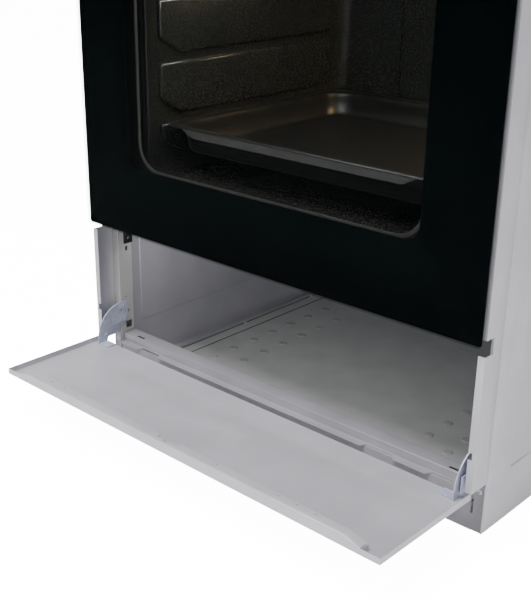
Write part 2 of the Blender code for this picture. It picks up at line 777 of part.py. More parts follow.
def oven_cavity(look, parent):
    """Enamelled oven box with a mouth flange, pressed shelf pads, a pressed back panel and two flame slots."""
    x = CAVITY_X + SHEET / 2
    floor, roof = CAVITY_FLOOR - SHEET / 2, CAVITY_ROOF + SHEET / 2
    front, back = MOUTH_Y, CAVITY_BACK + SHEET / 2
    pad_y = (front + PAD_START, front + PAD_START + PAD_SLOPE, back - PAD_START - PAD_SLOPE, back - PAD_START)
    pads = pad_levels()
    wall_zs = sorted({floor, roof, *[z for low, high in pads for z in (low, low + PAD_SLOPE, high - PAD_SLOPE, high)]})
    slot_y = (front + FLAME_SLOT_GAPS[0], CAVITY_BACK - FLAME_SLOT_GAPS[1])
    slot_x = (FLAME_SLOT_X - FLAME_SLOT_WIDTH / 2, FLAME_SLOT_X + FLAME_SLOT_WIDTH / 2)
    back_x = (BACK_PANEL_HALF, BACK_PANEL_HALF - BACK_PANEL_DEPTH)
    panel_z = (floor + BACK_PANEL_LOW, roof - BACK_PANEL_HIGH)
    back_z = (panel_z[0], panel_z[0] + BACK_PANEL_DEPTH, panel_z[1] - BACK_PANEL_DEPTH, panel_z[1])
    xs = sorted({s * v for s in (-1, 1) for v in (x, *slot_x, *back_x)})
    ys = sorted({front, back, *pad_y, *slot_y})
    zs = sorted({*wall_zs, *back_z})

    def side_at(side):
        def at(y, z):
            on_pad = pad_y[1] <= y <= pad_y[2] and any(a + PAD_SLOPE <= z <= b - PAD_SLOPE for a, b in pads)
            return (side * (x - (PAD_DEPTH if on_pad else 0)), y, z)

        return at

    def back_at(u, z):
        pressed = abs(u) <= back_x[1] and back_z[1] <= z <= back_z[2]
        return (u, back - (BACK_PANEL_DEPTH if pressed else 0), z)

    def floor_keep(u, y):
        return not (slot_x[0] < abs(u) < slot_x[1] and slot_y[0] < y < slot_y[1])

    def draw(bm):
        for side in (-1, 1):
            grid(bm, ys, zs, side_at(side))
            grid(bm, [0, CAVITY_FLANGE], zs, lambda u, z, side=side: (side * (x + u), front, z))
        grid(bm, xs, zs, back_at)
        grid(bm, xs, ys, lambda u, y: (u, y, floor), floor_keep)
        grid(bm, xs, ys, lambda u, y: (u, y, roof))
        for level, out in ((floor, -CAVITY_FLANGE), (roof, CAVITY_FLANGE)):
            grid(bm, xs, [0, out], lambda u, v, level=level: (u, front, level + v))

    obj = sheet("oven_cavity", draw, look["enamel"], parent)
    cut(obj, lambda bm: rod(bm, 1, lamp_spot(), LAMP_RADIUS + FIT, back - LAMP_DOME, back + LAMP_DOME))
    return obj


def lamp_spot():
    return (LAMP_X, CAVITY_ROOF - LAMP_DROP)


def oven_front_frame(look, parent):
    """Flat frame round the oven mouth, between the posts. Its lower corners are cut away for the door hinges."""
    mouth_x = CAVITY_X + MOUTH_MARGIN
    mouth = (CAVITY_FLOOR - MOUTH_MARGIN, CAVITY_ROOF + MOUTH_MARGIN)
    xs = [-FRAME_X, -CLAW_CUT_X, -mouth_x, mouth_x, CLAW_CUT_X, FRAME_X]
    zs = [DOOR_FRAME_BOTTOM, CLAW_CUT_TOP, *mouth, DOOR_TOP]

    def keep(x, z):
        in_mouth = abs(x) < mouth_x and mouth[0] < z < mouth[1]
        in_corner = abs(x) > CLAW_CUT_X and z < CLAW_CUT_TOP
        return not in_mouth and not in_corner

    return sheet(
        "oven_front_frame", lambda bm: grid(bm, xs, zs, lambda x, z: (x, FRAME_Y, z), keep), look["enamel"], parent
    )


def door_seal(look, parent):
    """Round gasket on the frame, all the way round the oven mouth."""
    half_z = (CAVITY_ROOF - CAVITY_FLOOR) / 2 + MOUTH_MARGIN + SEAL_RADIUS
    middle = (CAVITY_ROOF + CAVITY_FLOOR) / 2
    points = [(x, SEAL_Y, middle + z) for x, z in rounded(SEAL_X, half_z, SEAL_CORNER, 4)]
    return tube("door_seal", points, SEAL_RADIUS, look["rubber"], parent, 1, True)


def oven_floor_plate(look, parent):
    """Loose enamelled plate on the oven floor, between the flame slots."""
    z = CAVITY_FLOOR + FIT + SHEET / 2
    middle = (MOUTH_Y + CAVITY_BACK) / 2
    half_x, half_y = FLOOR_PLATE_WIDTH / 2, (CAVITY_BACK - MOUTH_Y) / 2 - FLOOR_PLATE_GAP
    flat = [(x, middle + y, z) for x, y in rounded(half_x, half_y, FLOOR_PLATE_CORNER)]
    flared = (half_x + FLOOR_PLATE_FLARE, half_y + FLOOR_PLATE_FLARE, FLOOR_PLATE_CORNER + FLOOR_PLATE_FLARE)
    rim = [(x, middle + y, z + FLOOR_PLATE_RIM) for x, y in rounded(*flared)]
    return sheet("oven_floor_plate", lambda bm: rings(bm, [flat, rim], cap_first=True), look["enamel"], parent)


def oven_burner(look, parent):
    """Horseshoe burner tube under the oven floor."""
    z = (CAVITY_FLOOR + FLAP_TOP + CEILING_GAP) / 2
    near = MOUTH_Y + BURNER_GAP
    far = CAVITY_BACK - FLAME_SLOT_GAPS[1]
    line = [(-FLAME_SLOT_X, near, z), (-FLAME_SLOT_X, far, z), (FLAME_SLOT_X, far, z), (FLAME_SLOT_X, near, z)]
    return tube("oven_burner", corner_path(line, BURNER_BEND, 4), BURNER_TUBE, look["aluminium"], parent)


def grill_burner(look, parent):
    """Bent grill burner under the oven roof."""
    z = CAVITY_ROOF - GRILL_TUBE - GRILL_DROP
    near = MOUTH_Y + GRILL_GAP
    far = CAVITY_BACK - GRILL_GAP
    half = CAVITY_X - GRILL_GAP
    line = [(-half, far, z), (-half, near, z), (half, near, z), (half, far, z)]
    return tube("grill_burner", corner_path(line, GRILL_BEND, 4), GRILL_TUBE, look["black_steel"], parent)


def oven_lamp(look, parent):
    """Lamp cover: a shallow glass dome with its collar in the back wall."""
    profile = [(0, -LAMP_BACK), (LAMP_RADIUS, -LAMP_BACK), (LAMP_RADIUS, LAMP_COLLAR)]
    profile += [(LAMP_RADIUS * math.cos(a), LAMP_COLLAR + LAMP_DOME * math.sin(a)) for a in (0.5, 1.0)]
    profile.append((0, LAMP_COLLAR + LAMP_DOME))
    x, z = lamp_spot()
    place = Matrix.Translation((x, CAVITY_BACK, z)) @ Matrix.Rotation(math.radians(90), 4, "X")
    return turned("oven_lamp", profile, place, look["lamp_glass"], parent, 16)


def baking_tray(look, parent):
    """Deep pressed tray whose flange lies in the lowest shelf groove."""
    z = shelf_z(0) + SHEET / 2
    half_x = CAVITY_X - TRAY_SIDE_GAP
    front, back = MOUTH_Y + TRAY_FRONT_GAP, CAVITY_BACK - TRAY_BACK_GAP
    middle, half_y = (front + back) / 2, (back - front) / 2

    def outline(inset, drop, radius):
        return [(x, middle + y, z - drop) for x, y in rounded(half_x - inset, half_y - inset, radius)]

    skins = [
        outline(TRAY_FLANGE + TRAY_DRAFT, TRAY_DEPTH, TRAY_CORNER - TRAY_DRAFT),
        outline(TRAY_FLANGE + SHEET, TRAY_BEAD, TRAY_CORNER),
        outline(TRAY_FLANGE - SHEET, 0, TRAY_CORNER),
        outline(0, 0, TRAY_FLANGE_CORNER),
    ]
    return sheet("baking_tray", lambda bm: rings(bm, skins, cap_first=True), look["enamel"], parent)


def wire_rack(look, parent):
    """Shelf of parallel wires in a frame."""
    z = shelf_z(RACK_LEVEL) - SHEET / 2
    half_x = CAVITY_X - RACK_SIDE_GAP
    front, back = MOUTH_Y + TRAY_FRONT_GAP, CAVITY_BACK - RACK_BACK_GAP
    pitch = (2 * half_x - RACK_WIRE) / (RACK_WIRES - 1)
    xs = sorted(v for i in range(RACK_WIRES) for v in (i * pitch - half_x, i * pitch - half_x + RACK_WIRE))
    ys = [front, front + RACK_WIRE, back - RACK_WIRE, back]
    wires = {round((a + b) / 2, 6) for a, b in pairs(xs)[::2]}

    def keep(x, y):
        return not ys[1] < y < ys[2] or round(x, 6) in wires

    bm = bmesh.new()
    grid(bm, xs, ys, lambda x, y: (x, y, z), keep)
    raise_solid(bm, RACK_WIRE)
    return node("wire_rack", bm, look["chrome"], parent)


def raise_solid(bm, height):
    """Extrudes a flat surface up to a closed solid."""
    weld(bm)
    made = bmesh.ops.extrude_face_region(bm, geom=bm.faces[:] + bm.edges[:] + bm.verts[:], use_keep_orig=True)
    top = [v for v in made["geom"] if isinstance(v, bmesh.types.BMVert)]
    bmesh.ops.translate(bm, verts=top, vec=(0, 0, height))
    bmesh.ops.recalc_face_normals(bm, faces=bm.faces)


# Oven door -------------------------------------------------------------------------------------------


def hinge_claw(side, name, look, parent):
    """Black steel receiver on the post: an eye for the door's hinge pin, a base and a tongue down the post's web."""
    low, high = DOOR_AXIS_Z - CLAW_BELOW, DOOR_AXIS_Z + CLAW_ABOVE
    near = FRAME_Y + SHEET / 2 + FIT
    eye = (DOOR_AXIS_Y, DOOR_AXIS_Z)
    arc = [
        (eye[0] + CLAW_EYE_RADIUS * math.cos(a), eye[1] + CLAW_EYE_RADIUS * math.sin(a))
        for a in [math.radians(90 + 22.5 * i) for i in range(9)]
    ]
    heel = near + CLAW_DEPTH / 2
    outline = arc + [(heel, DOOR_AXIS_Z - CLAW_EYE_RADIUS), (heel, DOOR_AXIS_Z + CLAW_EYE_RADIUS)]
    inner, outer = sorted(side * (CLAW_X + s * CLAW_THICKNESS / 2) for s in (-1, 1))
    bm = bmesh.new()
    prism(bm, outline, 0, inner, outer)
    obj = node(name, bm, look["black_steel"], parent)
    base_x = sorted((side * (CLAW_X - CLAW_THICKNESS / 2), side * FRAME_X))
    tongue_x = sorted((side * (FRAME_X - CLAW_TONGUE), side * FRAME_X))
    back = near + CLAW_DEPTH
    join(obj, lambda bm: box(bm, (base_x[0], near, low), (base_x[1], back, high)))
    tongue = (tongue_x[0], back - CLAW_TONGUE_WIDTH, low - CLAW_TONGUE_DROP), (tongue_x[1], back, low + CLAW_TONGUE)
    join(obj, lambda bm: box(bm, *tongue))
    hole = (back - CLAW_TONGUE_WIDTH / 2, low - CLAW_TONGUE_DROP + CLAW_TONGUE_WIDTH / 2)
    ends = (min(inner, *base_x) - SHEET, max(outer, *base_x) + SHEET)
    cut(obj, lambda bm: rod(bm, 0, eye, DOOR_PIN_RADIUS + 2 * FIT, *ends, 12))
    cut(obj, lambda bm: rod(bm, 0, hole, CLAW_HOLE, *ends, 10))
    return obj


def door_outer_glass(look, parent, pivot):
    half_z = (DOOR_TOP - DOOR_BOTTOM) / 2
    middle = (DOOR_TOP + DOOR_BOTTOM) / 2
    outline = [(x, middle + z) for x, z in rounded(DOOR_HALF, half_z, GLASS_CORNER)]
    bm = bmesh.new()
    prism(bm, outline, 1, FACE_Y, GLASS_BACK)
    return node("door_outer_glass", bm, look["black_glass"], parent, pivot)


def door_window():
    """(low, high) of the opening in the door's inner frame."""
    return (CAVITY_FLOOR + WINDOW_MARGIN_LOW, CAVITY_ROOF - WINDOW_MARGIN_HIGH)


def door_inner_glass(look, parent, pivot):
    low, high = door_window()
    back = INNER_FRAME_Y - SHEET / 2 - FIT
    half = WINDOW_INNER_WIDTH / 2 + WINDOW_LAP
    corners = (-half, back - GLASS, low - WINDOW_LAP), (half, back, high + WINDOW_LAP)
    return block("door_inner_glass", *corners, look["clear_glass"], parent, pivot)


def door_inner_frame(look, parent, pivot):
    """Inner door sheet round the inner glass. Its lower corners are cut away for the hinge arms."""
    half = CHANNEL_X + SHEET / 2
    hole = min(WINDOW_INNER_WIDTH / 2, CAVITY_X - WINDOW_MARGIN_SIDE)
    xs = [-half, -CLAW_CUT_X, -hole, hole, CLAW_CUT_X, half]
    zs = [DOOR_FRAME_BOTTOM, CLAW_CUT_TOP, *door_window(), DOOR_TOP - DOOR_TRIM_HEIGHT - FIT]

    def keep(x, z):
        in_window = abs(x) < hole and zs[2] < z < zs[3]
        in_corner = abs(x) > CLAW_CUT_X and z < CLAW_CUT_TOP
        return not in_window and not in_corner

    return sheet(
        "door_inner_frame",
        lambda bm: grid(bm, xs, zs, lambda x, z: (x, INNER_FRAME_Y, z), keep),
        look["black_steel"],
        parent,
        pivot=pivot,
    )


def door_side_channel(side, name, look, parent, pivot):
    """Channel up one side of the door, open backwards, with the hinge pin across its foot."""
    front = GLASS_BACK + FIT + SHEET / 2
    back = INNER_FRAME_Y - SHEET / 2 - FIT
    zs = [DOOR_FRAME_BOTTOM, DOOR_TOP - DOOR_TRIM_HEIGHT - FIT]

    def draw(bm):
        grid(bm, [CHANNEL_INNER_X, CHANNEL_X], zs, lambda x, z: (side * x, front, z))
        for x in (CHANNEL_INNER_X, CHANNEL_X):
            grid(bm, [front, back], zs, lambda y, z, x=x: (side * x, y, z))

    obj = sheet(name, draw, look["galvanised"], parent, pivot=pivot)
    ends = sorted((side * CHANNEL_INNER_X, side * CHANNEL_X))
    join(obj, lambda bm: rod(bm, 0, (DOOR_AXIS_Y, DOOR_AXIS_Z), DOOR_PIN_RADIUS, *ends, 12))
    return obj


def door_top_trim(look, parent, pivot):
    half = CHANNEL_X + SHEET / 2
    low = (-half, GLASS_BACK + FIT, DOOR_TOP - DOOR_TRIM_HEIGHT)
    high = (half, INNER_FRAME_Y + SHEET / 2, DOOR_TOP - FIT)
    return block("door_top_trim", low, high, look["black_steel"], parent, pivot)


def door_handle(look, parent, pivot):
    """Round bar on two posts in front of the door glass."""
    z = DOOR_TOP - HANDLE_BELOW
    y = FACE_Y - HANDLE_REACH + HANDLE_RADIUS
    half = BODY_WIDTH / 2 - HANDLE_INSET
    post = half - HANDLE_POST_INSET
    bm = bmesh.new()
    rod(bm, 0, (y, z), HANDLE_RADIUS, -half, half)
    obj = node("door_handle", bm, look["aluminium"], parent, pivot)

    def posts(bm):
        for x in (-post, post):
            rod(bm, 1, (x, z), HANDLE_POST_RADIUS, y, FACE_Y - FIT, 12)

    join(obj, posts)
    shade(obj)
    return obj


# Storage flap ----------------------------------------------------------------------------------------


def flap_panel(look, parent, pivot):
    """Drop-down front of the compartment, lying flat: skin, low side flanges and a front lip turned back inwards."""
    skin = FLAP_SKIN_Z + FLAP_SHEET / 2
    low = FLAP_SKIN_Z + FLAP_SIDE_RISE
    high = FLAP_SKIN_Z + FLAP_LIP_RISE - FLAP_SHEET / 2
    front = FLAP_FRONT_Y + FLAP_SHEET / 2
    taper_start = FLAP_X - FLAP_LIP_TAPER[0]
    taper_end = FLAP_X - FLAP_LIP_TAPER[1]
    xs = sorted([s * x for s in (-1, 1) for x in (*FLAP_NOTCH, taper_end, taper_start, FLAP_X)])
    ys = [front, FLAP_BACK_Y]

    def top_at(x):
        rise = (taper_start - abs(x)) / (taper_start - taper_end)
        return low + (high - low) * min(1, max(0, rise))

    def lip_at(x, v):
        return (x, front, top_at(x) if v else skin)

    def return_keep(x, y):
        return abs(x) > FLAP_NOTCH[1] or y < front + FLAP_LIP_RETURN / 2

    def draw(bm):
        grid(bm, xs, ys, lambda x, y: (x, y, skin))
        grid(bm, xs, [0, 1], lip_at)
        lips = [front, front + FLAP_LIP_RETURN / 2, front + FLAP_LIP_RETURN]
        grid(bm, [x for x in xs if abs(x) <= taper_start], lips, lambda x, y: (x, y, top_at(x)), return_keep)
        for side in (-1, 1):
            grid(bm, ys, [skin, low], lambda y, z, side=side: (side * FLAP_X, y, z))

    def holes(bm):
        for share in FLAP_HOLE_SHARES:
            for side in (-1, 1):
                spot = (side * share * taper_end, front + FLAP_LIP_RETURN * 0.7)
                rod(bm, 2, spot, FLAP_HOLE_RADIUS, high - FLAP_SHEET, high + FLAP_SHEET, 8)
        x, y = FLAP_LATCH_HOLE[0], front + FLAP_LIP_RETURN * 0.3
        box(bm, (-x, y, high - FLAP_SHEET), (0, y + FLAP_LATCH_HOLE[1], high + FLAP_SHEET))

    obj = sheet("flap_panel", draw, look["silver_paint"], parent, FLAP_SHEET, pivot)
    cut(obj, holes)
    return obj


def arm_outline():
    """(y, z) outline of a flap arm: a quarter disc whose lower inside is cut away."""
    centre = (FLAP_AXIS_Y + 0.0304, FLAP_AXIS_Z - 0.002)
    base = FLAP_SKIN_Z + FLAP_SHEET + FIT
    arc = [
        (centre[0] + ARM_RADIUS * math.cos(a), centre[1] + ARM_RADIUS * math.sin(a))
        for a in [math.radians(180 - 10 * i) for i in range(10)]
    ]
    tip = [(0.0398, 0.0408), (0.0412, 0.0390), (0.0406, 0.0250), (0.0374, 0.0120), (0.0330, 0.0110)]
    inside = [(0.0090, 0.0108), (0.0066, 0.0080), (0.0058, 0.0030)]
    rest = [(FLAP_AXIS_Y + y, FLAP_AXIS_Z + z) for y, z in tip + inside]
    return [(arc[0][0], base)] + arc + rest + [(FLAP_BACK_Y - FIT, base)]


def flap_hinge_arm(side, name, look, parent, pivot):
    """Quadrant plate of the flap hinge, with a foot bent over the flap's skin."""
    inner, outer = sorted(side * (ARM_X + s * ARM_SHEET / 2) for s in (-1, 1))
    base = FLAP_SKIN_Z + FLAP_SHEET + FIT
    tip = side * (ARM_X + ARM_SHEET / 2 - ARM_FOOT_WIDTH)
    bm = bmesh.new()
    prism(bm, arm_outline(), 0, inner, outer)
    obj = node(name, bm, look["galvanised"], parent, pivot)
    low_x, high_x = sorted((tip, side * ARM_X))
    front = FLAP_BACK_Y - ARM_FOOT_LENGTH
    foot = (low_x, front, base), (high_x, FLAP_BACK_Y - 2 * FIT, base + ARM_SHEET)
    join(obj, lambda bm: box(bm, *foot))
    centre = (FLAP_AXIS_Y, FLAP_AXIS_Z)
    hole = (FLAP_AXIS_Y + 0.0275, FLAP_AXIS_Z + 0.028)

    def holes(bm):
        rod(bm, 0, centre, PIVOT_RADIUS + PIVOT_PLAY, inner - 0.001, outer + 0.001)
        rod(bm, 0, hole, ARM_HOLE, inner - 0.001, outer + 0.001, 12)

    cut(obj, holes)
    return obj


def flap_pivot_bracket(side, name, look, parent):
    """Angle bracket on the post's front flange, with the flap's pivot pin riveted in its ear."""
    ear = ARM_X + ARM_SHEET / 2 + SIDE_RUN * 3 + EAR_SHEET / 2
    back = POST_FRONT - SHEET / 2 - FIT - EAR_SHEET / 2
    front = FLAP_AXIS_Y - EAR_REACH
    low, high = FLAP_AXIS_Z - EAR_BELOW, FLAP_AXIS_Z + EAR_ABOVE
    outer = CASE_X - SHEET / 2 - 2 * SIDE_RUN

    def draw(bm):
        grid(bm, [front, back], [low, high], lambda y, z: (side * ear, y, z))
        grid(bm, [ear, outer], [low, high], lambda x, z: (side * x, back, z))

    obj = sheet(name, draw, look["galvanised"], parent, EAR_SHEET)
    centre = (FLAP_AXIS_Y, FLAP_AXIS_Z)
    flange_clear = CASE_X + SHEET / 2 - FRONT_FLANGE - 2 * FIT
    inner = ARM_X - ARM_SHEET / 2 - FIT
    pin = sorted((side * (inner - SHEET), side * min(ear + EAR_SHEET, flange_clear)))
    head = sorted((side * (inner - ARM_SHEET), side * inner))
    join(obj, lambda bm: rod(bm, 0, centre, PIVOT_RADIUS, *pin))
    join(obj, lambda bm: rod(bm, 0, centre, PIVOT_RADIUS + PIN_HEAD, *head))
    return obj


# Control panel and gas train -------------------------------------------------------------------------


def knob_xs():
    return [(i - 2) * KNOB_PITCH for i in range(5)]


def button_x():
    return KNOB_PITCH * 2.5


def control_panel(look, parent):
    """Pressed front over the taps, with its top and bottom turned back, and holes for the stems and the button."""
    y = FACE_Y + SHEET / 2
    half = DOOR_HALF - SHEET / 2
    inside = RAIL_X
    xs = [-half, -inside, inside, half]
    zs = [PANEL_BOTTOM + SHEET / 2, CASE_TOP - SHEET / 2]
    returns = [y, y + PANEL_RETURN]

    def draw(bm):
        grid(bm, xs, zs, lambda x, z: (x, y, z))
        for z in zs:
            grid(bm, [-inside, inside], returns, lambda x, v, z=z: (x, v, z))
        for side in (-1, 1):
            grid(bm, [y, -SIDE_RUN], zs, lambda v, z, side=side: (side * half, v, z))

    obj = sheet("control_panel", draw, look["silver_paint"], parent)

    def holes(bm):
        for x in knob_xs():
            rod(bm, 1, (x, KNOB_Z), STEM_RADIUS + STEM_HOLE_PLAY, y - 2 * SHEET, y + 2 * SHEET)
        rod(bm, 1, (button_x(), KNOB_Z), BUTTON_RADIUS + FIT, y - 2 * SHEET, y + 2 * SHEET)

    cut(obj, holes)
    return obj


def tap_front():
    return FACE_Y + TAP_BACKSET


def gas_manifold(look, parent):
    """Gas rail behind the panel with its five taps, running back along the right side to the inlet."""
    pipe_y = tap_front() + TAP_SIZE[1] - PIPE_IN_TAP
    right = CASE_X - PIPE_SIDE_INSET
    start = (knob_xs()[0] - PIPE_START, pipe_y, KNOB_Z)
    line = [start, (right, pipe_y, KNOB_Z), (right, BODY_DEPTH - PIPE_END_GAP, KNOB_Z)]
    obj = tube("gas_manifold", corner_path(line, PIPE_BEND, 4), PIPE_RADIUS, look["brass"], parent)
    front = tap_front()

    def taps(bm):
        for x in knob_xs():
            low = (x - TAP_SIZE[0] / 2, front, KNOB_Z - TAP_SIZE[2] / 2)
            box(bm, low, (x + TAP_SIZE[0] / 2, front + TAP_SIZE[1], KNOB_Z + TAP_SIZE[2] / 2))

    def bores(bm):
        for x in knob_xs():
            depth = front + STEM_GRIP + STEM_TRAVEL
            rod(bm, 1, (x, KNOB_Z), STEM_RADIUS + FIT, front - SHEET, depth, 12)

    solid = node("gas_manifold_solid", mesh_of(obj), look["brass"], parent)
    bpy.data.objects.remove(obj, do_unlink=True)
    solid.name = "gas_manifold"
    join(solid, taps)
    cut(solid, bores)
    return solid


def mesh_of(obj):
    """A bmesh of an object's evaluated surface, welded."""
    graph = bpy.context.evaluated_depsgraph_get()
    mesh = obj.evaluated_get(graph).to_mesh()
    bm = bmesh.new()
    bm.from_mesh(mesh)
    weld(bm)
    return bm


def knob_back():
    return FACE_Y - KNOB_STANDOFF


def facing_front(x, y, z):
    """Placement that turns +Z of a turned piece to face forwards."""
    return Matrix.Translation((x, y, z)) @ Matrix.Rotation(math.radians(90), 4, "X")


def tap_stem(index, x, look, parent):
    """Spindle from inside the tap to inside the knob."""
    inner = tap_front() + STEM_GRIP - STEM_TRAVEL / 3
    outer = knob_back() - STEM_GRIP
    bm = bmesh.new()
    rod(bm, 1, (x, KNOB_Z), STEM_RADIUS, outer, inner, 12)
    return node(f"tap_stem_{index}", bm, look["brass"], parent, (x, knob_back(), KNOB_Z))


def knob(index, x, look, parent):
    """Round knob with a skirt, a grip bar across its face and a blind bore for the spindle."""
    bore = STEM_RADIUS + FIT
    profile = [
        (0, STEM_GRIP + FIT),
        (bore, STEM_GRIP + FIT),
        (bore, 0),
        (KNOB_RADIUS, 0),
        (KNOB_RADIUS, KNOB_SKIRT[0]),
        (KNOB_RADIUS - KNOB_GRIP / 2, KNOB_SKIRT[1]),
        (KNOB_RADIUS - KNOB_GRIP * 2 / 3, KNOB_DEPTH - KNOB_GRIP * 4 / 3),
        (KNOB_RADIUS - KNOB_GRIP, KNOB_DEPTH - KNOB_GRIP),
        (0, KNOB_DEPTH - KNOB_GRIP),
    ]
    pivot = (x, knob_back(), KNOB_Z)
    obj = turned(f"knob_{index}", profile, facing_front(*pivot), look["knob_plastic"], parent, 20, pivot)
    face = knob_back() - KNOB_DEPTH
    low = (x - KNOB_GRIP_HALF, face, KNOB_Z - KNOB_RADIUS + KNOB_GRIP_INSET)
    high = (x + KNOB_GRIP_HALF, face + KNOB_GRIP * 3 / 2, KNOB_Z + KNOB_RADIUS - KNOB_GRIP_INSET)
    join(obj, lambda bm: box(bm, low, high))
    shade(obj)
    return obj


def lamp_button(look, parent):
    """Push button for the oven lamp, with a collar that keeps it behind the panel."""
    collar, seat = BUTTON_RADIUS + BUTTON_COLLAR, -SHEET - BUTTON_TRAVEL / 2
    profile = [(0, -BUTTON_BACK), (collar, -BUTTON_BACK), (collar, seat)]
    profile += [(BUTTON_RADIUS, seat), (BUTTON_RADIUS, BUTTON_PROUD - BUTTON_EDGE)]
    profile += [(BUTTON_RADIUS - BUTTON_EDGE, BUTTON_PROUD), (0, BUTTON_PROUD)]
    pivot = (button_x(), FACE_Y, KNOB_Z)
    return turned("lamp_button", profile, facing_front(*pivot), look["knob_plastic"], parent, 16, pivot)


# Hob -------------------------------------------------------------------------------------------------


def burner_spots():
    """(x, y, radius) of each burner: front left, rear left, rear right, front right."""
    front, rear = FACE_Y + BURNER_FRONT, BODY_DEPTH - BURNER_REAR
    out = BODY_WIDTH * BURNER_SIDE_SHARE
    places = [(-out, front), (-out, rear), (out, rear), (out, front)]
    return [(x, y, r) for (x, y), r in zip(places, BURNER_RADII)]


def hob_top(look, parent):
    """Pressed hob with a rim, a sunken well and a skirt, and a hole at each burner."""
    half_x = CASE_X
    half_y = (BODY_DEPTH - FACE_Y) / 2 - SHEET / 2
    top = HOB_HEIGHT - SHEET / 2

    def outline(inset, z, radius):
        return [(x, HOB_Y + y, z) for x, y in rounded(half_x - inset, half_y - inset, radius)]

    skins = [
        outline(0, CASE_TOP + FIT, HOB_CORNER),
        outline(0, top - HOB_EDGE, HOB_CORNER),
        outline(HOB_EDGE * 0.3, top - HOB_EDGE * 0.3, HOB_CORNER),
        outline(HOB_EDGE, top, HOB_CORNER),
        outline(HOB_RIM, top, HOB_CORNER),
        outline(HOB_RIM + HOB_WELL_SLOPE, WELL_Z, HOB_CORNER),
    ]
    obj = sheet("hob_top", lambda bm: rings(bm, skins, cap_last=True), look["silver_paint"], parent)

    def holes(bm):
        for x, y, radius in burner_spots():
            rod(bm, 2, (x, y), radius - BURNER_HOLE_INSET + FIT, WELL_Z - 2 * SHEET, WELL_Z + 2 * SHEET, 24)

    cut(obj, holes)
    return obj


def burner_head(index, spot, look, parent):
    """Flame ring on the hob, with its neck down through the hob's hole and a bore for the gas."""
    x, y, radius = spot
    profile = [
        (BURNER_BORE, -BURNER_NECK),
        (radius - BURNER_NECK_INSET, -BURNER_NECK),
        (radius - BURNER_SEAT_INSET, -BURNER_SEAT_INSET),
        (radius - BURNER_SEAT_INSET, 0),
        (radius + BURNER_FLARE, 0),
        (radius + BURNER_FLARE, BURNER_FLARE_HEIGHTS[0]),
        (radius, BURNER_FLARE_HEIGHTS[1]),
        (radius, BURNER_BODY),
        (BURNER_BORE, BURNER_BODY),
    ]
    place = Matrix.Translation((x, y, WELL_TOP))
    return turned(f"burner_head_{index}", profile, place, look["aluminium"], parent, 24)


def burner_cap(index, spot, look, parent):
    """Enamelled lid on a flame ring."""
    x, y, radius = spot
    profile = [
        (0, 0),
        (radius + CAP_LAP, 0),
        (radius + CAP_LAP, CAP_THICKNESS - CAP_EDGE),
        (radius - CAP_LAP, CAP_THICKNESS - CAP_EDGE / 6),
        (0, CAP_THICKNESS),
    ]
    place = Matrix.Translation((x, y, BURNER_TOP + FIT))
    return turned(f"burner_cap_{index}", profile, place, look["grate_enamel"], parent, 24)


def pan_grate(side, name, look, parent):
    """Pan support over a front and a rear burner: a frame, two ribs, cross bars with fingers, and six legs."""
    spots = sorted((s[1], abs(s[0])) for s in burner_spots() if s[0] * side > 0)
    centre = spots[0][1]
    inner, outer = GRATE_GAP, CASE_X - GRATE_MARGIN
    front, back = FACE_Y + GRATE_END_MARGIN, BODY_DEPTH - GRATE_END_MARGIN
    half = GRATE_BAR / 2
    ribs = (centre - GRATE_RIB, centre + GRATE_RIB)
    bars_x = [inner + half, *ribs, outer - half]
    middle = (spots[0][0] + spots[1][0]) / 2
    bars_y = [front + half, spots[0][0], middle, spots[1][0], back - half]
    fingers = (centre - FINGER_REACH, centre + FINGER_REACH)
    xs = sorted({v for x in bars_x for v in (x - half, x + half)} | set(fingers))
    ys = sorted({v for y in bars_y for v in (y - half, y + half)})

    def on(value, bars):
        return any(abs(value - bar) < half for bar in bars)

    def keep(x, y):
        if on(x, bars_x):
            return True
        if on(y, [bars_y[0], middle, bars_y[-1]]):
            return True
        return on(y, bars_y) and not fingers[0] < x < fingers[1]

    bm = bmesh.new()
    grid(bm, xs, ys, lambda x, y: (side * x, y, GRATE_BOTTOM), keep)
    raise_solid(bm, GRATE_THICKNESS)
    obj = node(name, bm, look["grate_enamel"], parent)
    leg = LEG_SIZE / 2

    def legs(bm):
        for x in (bars_x[0], bars_x[-1]):
            for y in (bars_y[0], middle, bars_y[-1]):
                box(bm, (side * x - leg, y - leg, WELL_TOP), (side * x + leg, y + leg, GRATE_BOTTOM + leg))

    join(obj, legs)
    return obj


# Feet ------------------------------------------------------------------------------------------------


def levelling_foot(name, x, y, look, parent):
    """Glide under the case with a short threaded stud through the bottom flange."""
    top = BASE_Z - FIT
    profile = [(0, 0), (FOOT_RADIUS - FOOT_EDGE, 0), (FOOT_RADIUS, FOOT_EDGE), (FOOT_RADIUS, top), (FOOT_STUD, top)]
    profile += [(FOOT_STUD, BASE_Z + FOOT_STUD_RISE), (0, BASE_Z + FOOT_STUD_RISE)]
    return turned(name, profile, Matrix.Translation((x, y, 0)), look["rubber"], parent, 16, (x, y, 0))


